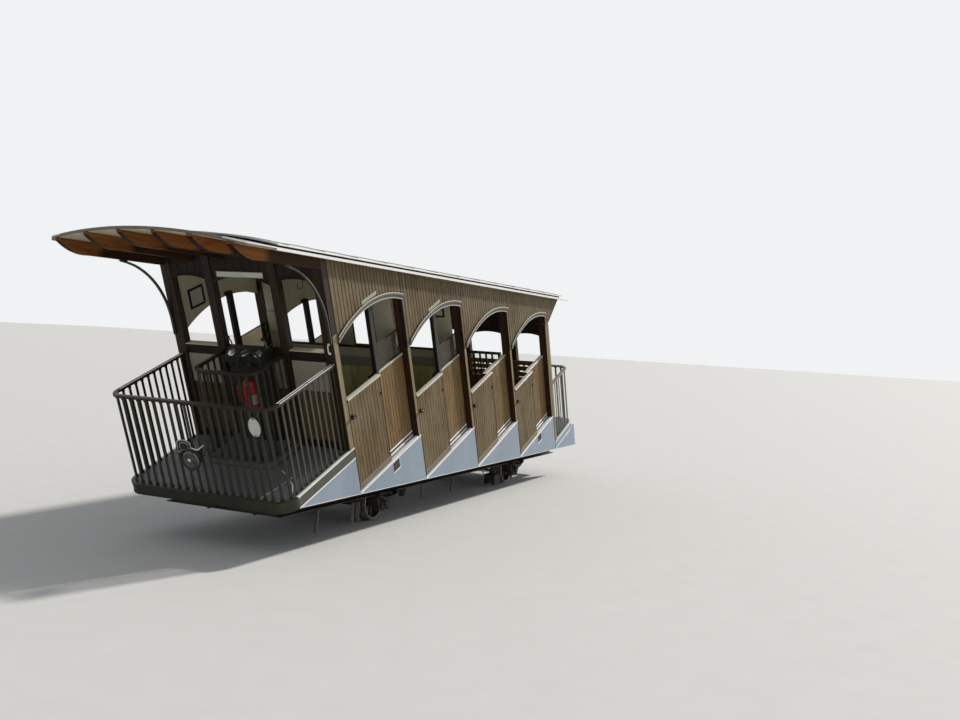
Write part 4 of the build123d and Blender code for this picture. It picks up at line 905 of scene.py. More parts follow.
# Fixed panels: boards, plinth strips and caps
for side, sign in SIDES:
    boards, strips, caps, beads = (Shape(outward(sign)) for _ in range(4))
    for bay in range(BAYS):
        x, z = bay_origin(bay)
        top = z + PANEL_TOP - 0.024
        for start, end in panel_spans(bay):
            start, end = x + start + 0.0005, x + end - 0.0005
            for x0, x1 in planked(start, end, x + PANEL_FIRST_GROOVE, FINE_GROOVE):
                boards.board(x0, x1, z + 0.080, top - 0.001, PANEL_FACE, 0.004)
                boards.board(x0, x1, z + 0.080, top - 0.001, PANEL_FACE - PANEL_THICK, -0.004)
            for low, high, proud in ((0.001, 0.025, 0.012), (0.057, 0.077, 0.007)):
                strips.bar(start, end, PANEL_FACE - 0.009, PANEL_FACE + proud, z + low, z + high, 0.002)
            if end - start < 0.2:
                continue
            face = PANEL_FACE + CAP_PROUD
            caps.bar(start, end, face - 0.001, face + 0.004, top + 0.013, top + 0.023, 0.0015)
            beads.bar(start, end, face - 0.001, face + 0.003, top + 0.001, top + 0.008, 0.0015)
            caps.bar(start, end, PANEL_FACE - PANEL_THICK - CAP_PROUD, face, top + 0.023,
                top + (0.0242 if bay < GLAZED_BAYS else 0.028), 0.0006)
    boards.make(f"{side}_panel_boards", GOLD_BOARDS, slot="slat_wood")
    strips.make(f"{side}_panel_plinth_strips", WHITE_EDGE, slot="skirt_pale")
    caps.make(f"{side}_panel_cap_strips", CAP_PAINTED_SUNLIGHT, slot="slat_wood")
    beads.make(f"{side}_panel_cap_beads", CAP_WOOD, slot="slat_wood")


# Mullions end at the arches here instead of running on up inside the walls
mullions, covers = Shape(), Shape()
for side, sign in SIDES:
    for bay in range(GLAZED_BAYS):
        x, z = bay_origin(bay)
        high = arch_height(bay, x + MULLION_START) + 0.055
        for shape, parts in ((mullions, ((MULLION_START, MULLION_END, MULLION_OUT - MULLION_DEEP,
                MULLION_OUT, 0.001), (MULLION_END - 0.004, MULLION_BROAD, MULLION_OUT - MULLION_DEEP,
                MULLION_OUT - 0.004, PANEL_TOP + 0.001))),
                (covers, ((MULLION_START + 0.006, MULLION_BROAD, MULLION_OUT - 0.001, MULLION_OUT + 0.003,
                PANEL_TOP + 0.001),))):
            for x0, x1, y0, y1, low in parts:
                y0, y1 = sorted((sign * y0, sign * y1))
                shape.bar(x + x0, x + x1, y0, y1, z + low, high, 0.003)
        y0, y1 = sorted((sign * (MULLION_OUT - 0.002), sign * (HALF - WALL + 0.001)))
        mullions.bar(x + MULLION_START + 0.006, x + MULLION_BROAD - 0.010, y0, y1, high - 0.045,
            high - 0.004, 0.003)
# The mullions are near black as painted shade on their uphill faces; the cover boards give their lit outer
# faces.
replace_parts(mullions.make("window_mullions", DARK_WOOD, slot="post_wood"), "mullions")
covers.make("mullion_cover_boards", MULLION_PAINT, slot="post_wood")


# Posts: pale outer faces as painted light beside their darker painted-shade sides, glazing beads
for side, sign in SIDES:
    faces, beads = Shape(outward(sign)), Shape(outward(sign))
    for bay in range(1, BAYS + 1):
        x, z = bay_origin(bay)
        head = z + SPRING - 0.002 if bay < BAYS else BRACE_LOW - 0.008
        faces.board(x - POST + 0.003, x - 0.003, z + DROP + 0.002, head, HALF, 0.003)
    faces.board(-END_WALL + 0.003, -0.003, DECK_UP + 0.002, SPRING - 0.002 + DROP * 0.18, HALF, 0.003)
    faces.board(BODY_END + 0.003, BODY_END + END_WALL - 0.003, DECK_DOWN + 0.002, BRACE_LOW - 0.008, HALF,
        0.003)
    faces.make(f"{side}_post_faces", POST_FACE, slot="post_wood")
    middle = PANEL_FACE - PANEL_THICK / 2
    for bay in range(GLAZED_BAYS):
        x, z = bay_origin(bay)
        for y0, y1 in ((middle + 0.0035, middle + 0.013), (middle - 0.013, middle - 0.0035)):
            beads.bar(x + MULLION_BROAD + 0.001, x + BAY - POST - 0.001, y0, y1, z + PANEL_TOP + 0.0015,
                z + PANEL_TOP + 0.014, 0.002)
            for x0 in (x + MULLION_BROAD, x + BAY - POST - 0.012):
                beads.bar(x0 + 0.0005, x0 + 0.0115, y0, y1, z + PANEL_TOP + 0.014, z + 1.398, 0.002)
        beads.bar(x + MULLION_BROAD + 0.001, x + BAY - POST - 0.001, middle - 0.008, middle + 0.008,
            z + 1.396, z + 1.408, 0.003)
    beads.make(f"{side}_glazing_beads", DARK_WOOD, slot="post_wood")


# Skirts: bright lower edge, riveted seam lines dark partly as painted shade of the gaps, vents with a dark
# backing as painted shade
SKIRT_START = -1.165                   # the skirts' uphill tip along the track
SEAM_RIVETS = 7                        # down each seam
TOP_RIVETS = 12                        # along the top of each bay's skirt
VENT_BAYS = (0, BAYS - 1)

for side, sign in SIDES:
    edge = Shape(outward(sign, track_at))
    edge.bar(SKIRT_START, SKIRT_END - 0.01, HALF - 0.002, HALF + 0.003, -SKIRT_LIP, -SKIRT_LIP + 0.006,
        0.0015)
    edge.make(f"{side}_skirt_bottom_edge", SIDE_EDGE, slot="skirt_pale")
    lines = Shape(outward(sign))
    for bay in range(BAYS):
        x, z = bay_origin(bay)
        lines.bar(x + 0.001, x + BAY - 0.001, HALF - 0.001, HALF + 0.0025, z - 0.017, z - 0.002, 0.001)
    for start, end, deck in ((UP_TIP + DECK_CORNER, -0.001, DECK_UP),
            (BODY_END + 0.001, DOWN_TIP - 0.20, DECK_DOWN)):
        low = deck - DECK_DEPTH
        lines.bar(start, end, HALF - 0.001, HALF + 0.0030, low - 0.015, low - 0.001, 0.001)
    lines.make(f"{side}_skirt_top_lines", WHITE_EDGE, slot="skirt_pale")
    gap_shaded_seams, rivets = Shape(outward(sign)), Shape(outward(sign))
    for bay in range(BAYS):
        x, z = bay_origin(bay)
        foot = -(x + BAY) * SLOPE
        # Each seam's dark line is partly painted shade of the gap at the tooth's edge.
        gap_shaded_seams.bar(x + BAY - 0.0055, x + BAY - 0.0005, HALF - 0.001, HALF + 0.0015, foot + 0.010,
            z - 0.004, 0.0005)
        for k in range(SEAM_RIVETS):
            height = foot + 0.04 + (z - foot - 0.07) * k / (SEAM_RIVETS - 1)
            rivets.turned((x + BAY - 0.0160, HALF - 0.0005, height), (0, 1, 0),
                [(0, 0.005), (0.0015, 0.0045), (0.0025, 0.002)], 8)
        for k in range(TOP_RIVETS):
            place = x + 0.10 + 1.33 * k / (TOP_RIVETS - 1)
            beside_vent = bay in VENT_BAYS and 0.73 < place - x < 0.93
            rivets.turned((place, HALF - 0.0005, z - (0.006 if beside_vent else 0.030)), (0, 1, 0),
                [(0, 0.0045), (0.0015, 0.004), (0.0025, 0.002)], 8)
    gap_shaded_seams.make(f"{side}_skirt_seams", FRAME_BLACK, slot="skirt_pale")
    rivets.make(f"{side}_skirt_rivets", SKIRT_PAINT, slot="skirt_pale", smooth=40)
    frames, louvres = Shape(outward(sign)), Shape(outward(sign))
    for bay in VENT_BAYS:
        x, z = bay_origin(bay)
        x0, x1, z0, z1 = x + 0.748, x + 0.908, z - 0.140, z - 0.020
        frames.bar(x0 - 0.008, x1 + 0.008, HALF - 0.001, HALF + 0.005, z0 - 0.012, z0, 0.0015)
        for a, b, c, d in ((x0 - 0.005, x1 + 0.005, z1, z1 + 0.003), (x0 - 0.005, x0, z0, z1),
                (x1, x1 + 0.005, z0, z1)):
            frames.bar(a, b, HALF - 0.001, HALF + 0.003, c, d, 0.0006)
        # The dark plate behind the louvres is painted shade in the vent's opening.
        louvres.bar(x0 + 0.001, x1 - 0.001, HALF - 0.001, HALF + 0.0015, z0 + 0.001, z1 - 0.001, 0.0005)
        for k in range(5):
            low = z0 + 0.010 + 0.022 * k
            slat = ((0.0010, low), (0.0042, low - 0.003), (0.0010, low + 0.010))
            louvres.loft([[(a, HALF + proud, height) for proud, height in slat]
                for a in (x0 + 0.006, x1 - 0.006)])
    frames.make(f"{side}_vent_frames", WHITE_EDGE, slot="skirt_pale")
    louvres.make(f"{side}_vent_louvres", FRAME_BLACK, slot="frame_black")


# Roof: bright edge of the bare overhang, soffit planks, cover ends
for side, sign in SIDES:
    strips, edge = Shape(outward(sign, track_at)), Shape(outward(sign, track_at))
    bow_radius = (ROOF_HALF ** 2 + ROOF_BOW ** 2) / (2 * ROOF_BOW)
    inset = math.sqrt((bow_radius - ROOF_CORNER) ** 2 - (ROOF_HALF - ROOF_CORNER) ** 2)
    corner_s = ROOF_START + bow_radius - inset
    path = [(COVER_START - 0.012, ROOF_HALF)]
    path += [(corner_s - dy, ROOF_HALF - ROOF_CORNER + ds) for ds, dy in arc((0, 0), ROOF_CORNER, 0, 82, 8)]
    for y in (1.020, 0.985, 0.950):
        path.append((ROOF_START + bow_radius - math.sqrt(bow_radius ** 2 - y * y), y))
    rings = []
    for k, (s, y) in enumerate(path):
        before, after = path[max(k - 1, 0)], path[min(k + 1, len(path) - 1)]
        size = math.dist(before, after)
        out_s, out_y = (after[1] - before[1]) / size, (before[0] - after[0]) / size
        ring = []
        for away, drop in ((-0.010, -0.0095), (0.0015, -0.0095), (0.0015, 0.0015), (-0.010, 0.0015)):
            ring.append((s + out_s * away, y + out_y * away, roof_under(y, ROOF_DECK) + drop))
        rings.append(ring)
    strips.loft(rings)
    strips.make(f"{side}_overhang_edge_strip", WHITE_EDGE, slot="roof_white")
    high = roof_under(ROOF_HALF, COVER_TOP)
    edge.bar(COVER_START + 0.004, COVER_END - 0.004, ROOF_HALF - 0.010, ROOF_HALF + 0.0012, high - 0.0135,
        high - 0.0005, 0.001)
    edge.make(f"{side}_roof_cover_edge", WHITE_EDGE, slot="roof_white")


def soffit_front(y):
    return ROOF_START + ROOF_BOW * (y / ROOF_HALF) ** 2 + 0.012


def soffit_back(y):
    return ROOF_END - ROOF_BOW * (y / ROOF_HALF) ** 2 - 0.012


planks = Shape(track_at)
spans = []
for gap in range(5):
    left = -1.005 + gap * RAFTER_PITCH + RAFTER_HALF + 0.001
    spans += [(a, b) for a, b in spaced(left, left + RAFTER_PITCH - 2 * RAFTER_HALF - 0.002, 0.085, 0.003)]
spans += [(-1.112, -1.038), (1.038, 1.112)]
for y0, y1 in spans:
    rings = []
    ys = [y0, (y0 + y1) / 2, y1]
    for share in (0.0, 1.0):
        ring = []
        for lift in (-0.0065, -0.0008):
            row = []
            for y in ys:
                s = soffit_front(y) + (0.035 if abs(y) > 1.03 else 0)
                e = soffit_back(y) - (0.035 if abs(y) > 1.03 else 0)
                row.append((s + (e - s) * share, y, roof_under(y) + lift))
            ring += row if lift < -0.005 else row[::-1]
        rings.append(ring)
    planks.loft(rings)
planks.make("soffit_planks", SOFFIT_WOOD, slot="post_wood")

flash = Shape(track_at)
rings = []
for k in range(21):
    y = max(min(k * 0.1137 - 1.137, 1.1365), -1.1365)
    low, high = roof_under(y, ROOF_DECK + 0.030), roof_under(y, ROOF_DECK + 0.040)
    s0, s1 = COVER_END - 0.008, COVER_END + 0.008
    rings.append([(s0, y, low), (s1, y, low), (s1, y, high), (s0, y, high)])
flash.loft(rings)
flash.make("roof_cover_end_strips", WHITE_EDGE, slot="roof_white")


# End walls: planked heads, mouldings, panels in three bands, sills
def end_face(name, x_out, floor, way):
    """Dress one face of an end wall; way is -1 when the face looks uphill."""
    head, lower, cream, dark = (Shape() for _ in range(4))
    spans = ((DOOR_POST - HALF + 0.0303, -END_OPENING - DOOR_POST), (-END_OPENING, END_OPENING),
        (END_OPENING + DOOR_POST, HALF - CORNER_POST))
    for number, (y0, y1) in enumerate(spans):
        rise = END_ARCH if number == 1 else 0.038
        radius = (((y1 - y0) / 2) ** 2 + rise ** 2) / (2 * rise)
        middle = (y0 + y1) / 2
        soffit = lambda y: floor + END_HEAD - radius + math.sqrt(max(radius ** 2 - (y - middle) ** 2, 0.0))
        face = x_out + 0.015 * -way
        low = lambda y: roof_under(y) / COS - face * SLOPE - 0.145
        for a, b in spaced(y0 + 0.002, y1 - 0.002, 0.105, 0.004):
            head.across_board(a, b, lambda y: soffit(y) + 0.002, low, face, way * 0.006)
        panel = x_out + 0.025 * -way
        for a, b in spaced(y0 + 0.002, y1 - 0.002, 0.088, 0.004):
            lower.across_board(a, b, floor + 0.090, floor + 0.672, panel, way * 0.006)
        ends = sorted((panel, panel + way * 0.010))
        cream.bar(*ends, y0 + 0.001, y1 - 0.001, floor + 0.676, floor + 1.018, 0.002)
        dark.bar(*ends, y0 + 0.001, y1 - 0.001, floor + 1.020, floor + 1.089, 0.002)
        dark.bar(*sorted((panel, panel + way * 0.012)), y0 + 0.001, y1 - 0.001, floor + 0.004,
            floor + 0.086, 0.002)
        for k in range(2):
            inner = radius + 0.012 + 0.026 * k
            rings = []
            for step in range(17):
                y = y0 + (y1 - y0) * step / 16
                z = floor + END_HEAD - radius + math.sqrt(max(inner ** 2 - (y - middle) ** 2, 0.0))
                a, b = sorted((face + way * 0.003, face + way * (0.016 - 0.004 * k)))
                rings.append([(a, y, z - 0.010), (b, y, z - 0.010), (b, y, z + 0.008), (a, y, z + 0.008)])
            dark.loft(rings)
    head.make(f"{name}_head_planks", HEAD_WOOD, slot="slat_wood")
    lower.make(f"{name}_lower_planks", INNER_BOARDS, slot="slat_wood")
    cream.make(f"{name}_cream_boards", END_CREAM, slot="wall_cream")
    dark.make(f"{name}_mouldings", DARK_WOOD, slot="post_wood")


end_face("uphill_end_outer", -END_WALL, DECK_UP, -1)
end_face("uphill_end_inner", 0.0, DECK_UP, 1)
end_face("downhill_end_inner", BODY_END, DECK_DOWN, -1)
end_face("downhill_end_outer", BODY_END + END_WALL, DECK_DOWN, 1)

sills = Shape()
for x0, x1, floor in ((-END_WALL - 0.004, 0.004, DECK_UP), (BODY_END - 0.004, BODY_END + END_WALL + 0.004,
        DECK_DOWN)):
    for y0, y1 in ((DOOR_POST - HALF + 0.032, -END_OPENING - DOOR_POST - 0.001),
            (END_OPENING + DOOR_POST + 0.001, HALF - CORNER_POST - 0.001)):
        sills.bar(x0, x1, y0, y1, floor + END_SILL + 0.0003, floor + END_SILL + 0.010, 0.003)
sills.make("end_wall_sill_tops", LINING, slot="wall_cream")

sign_board = Shape()
sign_board.bar(-0.092, -0.083, -0.300, 0.290, 2.493, 2.551, 0.002)
sign_board.make("blank_sign_board", PLATE_WHITE, slot="wall_cream")
sign_frame = Shape()
for y0, y1, z0, z1 in ((-0.306, 0.296, 2.487, 2.494), (-0.306, 0.296, 2.550, 2.557),
        (-0.306, -0.299, 2.487, 2.557), (0.289, 0.296, 2.487, 2.557)):
    sign_frame.bar(-0.094, -0.083, y0, y1, z0, z1, 0.0015)
sign_frame.make("sign_board_frame", POST_FACE, slot="post_wood")
hook = Shape()
hook.tube([(-0.082, -0.783, 2.498), (-0.084, -0.779, 2.455), (-0.084, -0.774, 2.417),
    (-0.084, -0.752, 2.395), (-0.084, -0.728, 2.389), (-0.084, -0.708, 2.401), (-0.084, -0.704, 2.424),
    (-0.084, -0.711, 2.442)], 0.0045)
hook.turned((-0.081, -0.783, 2.498), (-1, 0, 0), [(0, 0.014), (0.004, 0.014), (0.006, 0.006)], 16)
hook.make("coat_hook", DESK_PAINT, slot="desk_dark", smooth=50)
grab = Shape()
grab.tube([(-0.091, -0.980, 1.690), (-0.112, -0.980, 1.695), (-0.117, -0.980, 1.706),
    (-0.117, -0.980, 1.774), (-0.112, -0.980, 1.785), (-0.091, -0.980, 1.790)], 0.006, 12)
for z in (1.690, 1.790):
    grab.turned((-0.090, -0.980, z), (-1, 0, 0), [(0, 0.014), (0.004, 0.014), (0.006, 0.008)], 18)
grab.make("grab_handle", WHITE_EDGE, slot="rail_bronze", smooth=50)


# Platforms: fascia, edge angles, floor plates
def platform(name, start, tip, floor):
    way = 1 if tip > start else -1
    path = turning_path(start, tip, HALF, DECK_CORNER)
    run = abs(tip - start) - DECK_CORNER
    total = length_of(path)
    section = [(-0.002, -0.116), (0.003, -0.116), (0.003, -0.012), (-0.002, -0.012)]
    cover = Shape()
    for a, b in ((0, run - 0.001), (total - run + 0.001, total)):
        cover.sweep(part_of(path, a, b), floor, section, way)
    # Uphill fascias take the darker painted-shade paints, downhill ones the skirt paint and white edge.
    cover.make(f"{name}_deck_side_fascias", FASCIA_PAINT if way < 0 else SKIRT_PAINT, slot="deck_grey")
    nose = Shape()
    nose.sweep(part_of(path, run, total - run), floor, section, way)
    nose.make(f"{name}_deck_front_fascia", FASCIA_DARK if way < 0 else SKIRT_PAINT, slot="deck_grey")
    edges = Shape()
    for a, b in ((0.001, run), (total - run, total - 0.001)):
        stretch = part_of(path, a, b)
        edges.sweep(stretch, floor, [(-0.020, 0.0005), (0.005, 0.0005), (0.005, -0.011), (0.0075, -0.011),
            (0.0075, 0.0030), (-0.020, 0.0030)], way)
    edges.make(f"{name}_deck_side_edges", WHITE_EDGE, slot="deck_grey")
    front = Shape()
    stretch = part_of(path, run, total - run)
    front.sweep(stretch, floor, [(-0.030, 0.0005), (0.005, 0.0005), (0.005, -0.022), (0.008, -0.022),
        (0.008, 0.003), (-0.030, 0.003)], way)
    front.sweep(stretch, floor, [(0.002, -0.117), (0.007, -0.117), (0.007, -0.103), (0.002, -0.103)], way)
    front.make(f"{name}_deck_front_edge", FASCIA_DARK if way < 0 else WHITE_EDGE, slot="deck_grey")


def fence(name, start, tip, half, corner, floor, rise, rail_mat, post_mat, highlight_strips):
    """Round-edged hand rail over the CAD rail, with baluster feet, collars and bolts."""
    way = 1 if tip > start else -1
    path = turning_path(start, tip, half, corner)
    total = length_of(path)
    run = abs(tip - start) - corner
    middle = floor + rise - 0.0125
    section = rounded(*HAND_RAIL)
    front = Shape()
    front.sweep(part_of(path, run, total - run), middle, section, way)
    front.make(f"{name}_front_hand_rail", rail_mat, slot="rail_bronze", smooth=50)
    sides, strips = Shape(), Shape()
    for a, b in ((0.001, run - 0.001), (total - run + 0.001, total - 0.001)):
        count = max(1, round((b - a) / 0.6))
        for k in range(count):
            c, d = a + (b - a) * k / count, a + (b - a) * (k + 1) / count - 0.005
            sides.sweep(part_of(path, c, d), middle, section, way)
            # Two pale strips along the top of each side rail are painted highlights.
            for shift in (-0.0165, 0.0165):
                strip = [(shift + u, v + 0.0150) for u, v in rounded(0.0120, 0.0050, 0.002, 2)]
                strips.sweep(part_of(path, c + 0.003, d - 0.003), middle, strip, way)
    sides.make(f"{name}_side_hand_rails", rail_mat, slot="rail_bronze", smooth=50)
    if highlight_strips:
        strips.make(f"{name}_hand_rail_painted_highlights", WHITE_EDGE, slot="rail_bronze", smooth=50)
    count = round(total / BALUSTER_PITCH)
    feet = Shape()
    for k in range(count + 1):
        (x, y), (dx, dy) = walk(path, min(max(total * k / count, 0.018), total - 0.018))
        for reach, wide, low, high in ((0.024, 0.010, 0.0, 0.007), (0.0185, 0.0075, 0.006, 0.030),
                (0.0185, 0.0075, rise - 0.050, rise - 0.024)):
            corners = []
            for u, v in ((-reach, -wide), (reach, -wide), (reach, wide), (-reach, wide)):
                corners.append((x + dx * u - dy * v, y + dy * u + dx * v))
            feet.plate(corners, floor + low, floor + high)
        outer = (way * dy, -way * dx, 0)
        for z in (0.018, rise - 0.037):
            feet.turned((x + outer[0] * 0.006, y + outer[1] * 0.006, floor + z), outer,
                [(0, 0.0075), (0.0055, 0.0075), (0.007, 0.005)], 6)
    feet.make(f"{name}_baluster_feet", post_mat, slot="rail_bronze")


platform("uphill", 0.0, UP_TIP, DECK_UP)
platform("downhill", BODY_END, DOWN_TIP, DECK_DOWN)
# The uphill and driver's railings take the painted-shade paints, the downhill one the pale copies.
fence("uphill", -END_WALL - SEAT_GAP, UP_TIP + RAIL_INSET, HALF - RAIL_INSET, DECK_CORNER - RAIL_INSET,
    DECK_UP, RAIL_RISE, RAIL_BRONZE, BALUSTER_PAINT, True)
fence("downhill", BODY_END + END_WALL + SEAT_GAP, DOWN_TIP - RAIL_INSET, HALF - RAIL_INSET,
    DECK_CORNER - RAIL_INSET, DECK_DOWN, RAIL_RISE, PALE_RAIL, PALE_BALUSTER, False)
fence("driver", -END_WALL - 0.0023, -END_WALL - SEAT_GAP - STAND_LENGTH, STAND_HALF, STAND_CORNER,
    DECK_UP + STAND_RISE, STAND_RAIL_RISE - STAND_RISE, RAIL_BRONZE, BALUSTER_PAINT, False)

nosing = Shape()
stand_path = turning_path(-END_WALL - 0.001, -END_WALL - STAND_LENGTH - 0.0303, STAND_HALF + 0.030,
    STAND_CORNER)
nosing.sweep(stand_path, DECK_UP + STAND_RISE, [(-0.024, 0.0005), (0.004, 0.0005), (0.004, -0.018),
    (0.0065, -0.018), (0.0065, 0.003), (-0.024, 0.003)], -1)
nosing.sweep(stand_path, DECK_UP, [(0.001, 0.0015), (0.009, 0.0015), (0.006, 0.012), (0.001, 0.012)], -1)
nosing.make("driver_step_nosing", FASCIA_PAINT, slot="deck_grey")

PLATE_PITCH = 0.158
PLATE_WIDE = 0.154
PLATE_END = 0.985                      # across the car from its middle
plates = Shape()
for k in range(7):
    x0 = -0.100 - PLATE_PITCH * (k + 1) + 0.004
    across = ()
    if x0 > -0.66:
        across = ((-PLATE_END, -0.432), (0.432, PLATE_END))
    elif -1.23 < x0 < -0.70:
        across = ((-PLATE_END, PLATE_END),)
    for y0, y1 in across:
        plates.bar(x0, x0 + PLATE_WIDE, y0, y1, DECK_UP + 0.0002, DECK_UP + 0.0028, 0.001)
plates.make("uphill_deck_floor_plates", DECK_PAINT, slot="deck_grey")
lines = Shape()
strip_path = ((-1.240, -0.668), (-1.078, -0.705), (-0.740, -0.749))
cable_path = ((-0.685, -0.558), (-0.740, -0.640), (-0.828, -0.730), (-0.940, -0.850), (-1.075, -0.937))
lines.tube([(x, y, DECK_UP + 0.006) for x, y in strip_path], 0.0045, 8)
lines.tube([(x, y, DECK_UP + 0.009) for x, y in cable_path], 0.0075, 10)
lines.make("deck_cable_and_strip", SIDE_EDGE, slot="deck_grey", smooth=50)
planks = Shape()
for x0, x1 in spaced(BODY_END + END_WALL + 0.01, DOWN_TIP - 0.075, 0.118, 0.006):
    planks.bar(x0, x1, -0.975, 0.975, DECK_DOWN + 0.0002, DECK_DOWN + 0.004, 0.0015)
planks.make("downhill_deck_floor_plates", DECK_PAINT, slot="deck_grey")

# Headlamp with its hood, arms and blank plates
LAMP = Vector((UP_TIP + RAIL_INSET - 0.030, 0.0, 0.985))
HOOD_RADIUS = 0.1205
LAMP_ARM = 0.132                       # across the car from its middle
rim, glint = Shape(), Shape()
rim.hoop(LAMP + Vector((-0.102, 0, 0)), (-1, 0, 0), 0.1085, 0.0075)
# The short steel arc on the rim is a painted highlight; the rest of the rim is dark.
glint.tube([(LAMP.x - 0.109, y, z) for y, z in arc((0, LAMP.z), 0.111, 130, 200, 8)], 0.0026, 6)
glint.turned(LAMP + Vector((-0.108, 0, 0)), (-1, 0, 0), [(0, 0.022), (0.008, 0.020), (0.014, 0.012),
    (0.016, 0.003)], 18)
glint.make("headlamp_rim_glint_and_bulb_cap", STEEL, slot="lamp_steel", smooth=50)
rim.hoop(LAMP + Vector((-0.078, 0, 0)), (-1, 0, 0), 0.1115, 0.004)
rim.hoop(LAMP + Vector((-0.010, 0, 0)), (-1, 0, 0), 0.062, 0.005)
for angle in (30, 150, 270):
    spot = polar(0.118, angle)
    rim.bar(LAMP.x - 0.106, LAMP.x - 0.080, spot[0] - 0.006, spot[0] + 0.006, LAMP.z + spot[1] - 0.006,
        LAMP.z + spot[1] + 0.006, 0.002)
rim.make("headlamp_rims", DESK_PAINT, slot="lamp_steel", smooth=50)
lens = Shape()
lens.turned(LAMP, (-1, 0, 0), [(0.094, 0.102), (0.100, 0.096), (0.106, 0.080), (0.111, 0.056),
    (0.1145, 0.028), (0.1155, 0.004)], 40)
for radius in (0.030, 0.054, 0.076):
    lens.hoop(LAMP + Vector((-0.1145 + 0.09 * radius, 0, 0)), (-1, 0, 0), radius, 0.0016)
lens.make("headlamp_lens", LAMP_GLASS, slot="lamp_steel", smooth=60)
hood, strap = Shape(), Shape()
rings = []
for y, z in arc((0, LAMP.z), HOOD_RADIUS, 20, 160, 16):
    out_y, out_z = y / HOOD_RADIUS * 0.0025, (z - LAMP.z) / HOOD_RADIUS * 0.0025
    reach = 0.105 + 0.020 * ((z - LAMP.z) / HOOD_RADIUS) ** 1.5
    rings.append([(LAMP.x - 0.070, y, z), (LAMP.x - reach, y, z), (LAMP.x - reach, y + out_y, z + out_z),
        (LAMP.x - 0.070, y + out_y, z + out_z)])
hood.loft(rings)
for sign in (-1, 1):
    hood.tube([(LAMP.x + 0.022, sign * LAMP_ARM, 1.060), (LAMP.x - 0.010, sign * LAMP_ARM, 1.055),
        (LAMP.x - 0.034, sign * LAMP_ARM, 1.030), (LAMP.x - 0.050, sign * LAMP_ARM, 0.985)], 0.0065, 10)
    hood.turned((LAMP.x - 0.050, sign * 0.112, 0.985), (0, sign, 0),
        [(0, 0.012), (0.020, 0.012), (0.024, 0.007)], 16)
hood.make("headlamp_hood_and_arms", DARK_GREEN, slot="lamp_steel", smooth=50)
# The strap is near white, partly as painted sunlight.
strap.tube([(LAMP.x - 0.072, -0.010, 1.108), (LAMP.x - 0.076, -0.030, 1.112),
    (LAMP.x - 0.070, -0.062, 1.096), (LAMP.x - 0.055, -0.085, 1.086), (LAMP.x - 0.030, -0.098, 1.098),
    (LAMP.x + 0.010, -0.104, 1.106)], 0.0055, 8)
strap.make("headlamp_strap", WHITE_EDGE, slot="lamp_steel", smooth=50)
plate, face, rims = Shape(), Shape(), Shape()
outline = [(0.064, 1.000), (0.236, 1.000)]
outline += [(y, 1.096 + (z - 1.096) * 0.5) for y, z in arc((0.150, 1.096), 0.086, 0, 180, 14)]
oval = []
for k in range(36):
    angle = k * math.pi / 18
    oval.append((-0.781 + 0.074 * math.cos(angle), 1.370 + 0.106 * math.sin(angle)))
face.facing(outline, LAMP.x + 0.014, LAMP.x + 0.018)
face.make("blank_number_plate", DARK_GREEN, slot="lamp_steel")
plate.facing(oval, LAMP.x + 0.013, LAMP.x + 0.018)
plate.tube([(LAMP.x + 0.013, y, z) for y, z in outline], 0.0048, 6, True)
inner = [(0.150 + (y - 0.150) * 0.62, 1.060 + (z - 1.060) * 0.62) for y, z in outline]
plate.tube([(LAMP.x + 0.014, y, z) for y, z in inner], 0.0030, 6, True)
plate.make("blank_oval_plate_and_rims", PLATE_WHITE, slot="lamp_steel")
rims.tube([(LAMP.x + 0.013, y, z) for y, z in oval], 0.0042, 6, True)
for y, z in ((-0.781, 1.458), (-0.781, 1.282), (0.085, 1.020), (0.215, 1.020)):
    rims.bolt((LAMP.x + 0.013, y, z), (-1, 0, 0), 0.006, 0.005)
rims.make("plate_rim_and_bolts", DESK_PAINT, slot="rail_bronze", smooth=50)

# Driver's stand: desk fittings and extinguisher
DESK = (-END_WALL - SEAT_GAP, DECK_UP + END_SILL + 0.030)
LEVER_SIDES = (-0.225, 0.225)
BRAKE_WHEEL = 0.150                    # radius of the hand wheel
fittings = Shape()
for y in (-0.17, 0.0, 0.17):
    fittings.turned((DESK[0] - 0.140, y, DESK[1] - 0.031), (-0.55, 0, 0.83),
        [(0, 0.046), (0.008, 0.046), (0.011, 0.041), (0.012, 0.038)], 28)
for y in LEVER_SIDES:
    fittings.tube([(DESK[0] - 0.040, y, DESK[1] - 0.002), (DESK[0] - 0.060, y, DESK[1] + 0.070),
        (DESK[0] - 0.090, y, DESK[1] + 0.115)], 0.008)
fittings.make("desk_dials_and_levers", STEEL, slot="desk_dark", smooth=50)
knobs = Shape()
for y in LEVER_SIDES:
    knobs.turned((DESK[0] - 0.090, y, DESK[1] + 0.110), (-0.5, 0, 0.85),
        [(0, 0.010), (0.006, 0.019), (0.016, 0.022), (0.026, 0.018), (0.032, 0.006)], 18)
wheel_at = Vector((DESK[0] - 0.235, -0.10, DESK[1] - 0.130))
knobs.hoop(wheel_at, (-1, 0, 0.25), BRAKE_WHEEL, 0.0115)
for angle in (90, 210, 330):
    y, z = polar(BRAKE_WHEEL, angle)
    knobs.tube([wheel_at, wheel_at + Vector((0.25 * z, y, z))], 0.0075, 8)
knobs.turned(wheel_at + Vector((0.048, 0, -0.012)), (-1, 0, 0.25),
    [(0, 0.020), (0.040, 0.026), (0.056, 0.026), (0.064, 0.014)], 20)
knobs.make("brake_wheel_and_lever_knobs", BLACK_RUBBER, slot="desk_dark", smooth=50)
desk_edges = Shape()
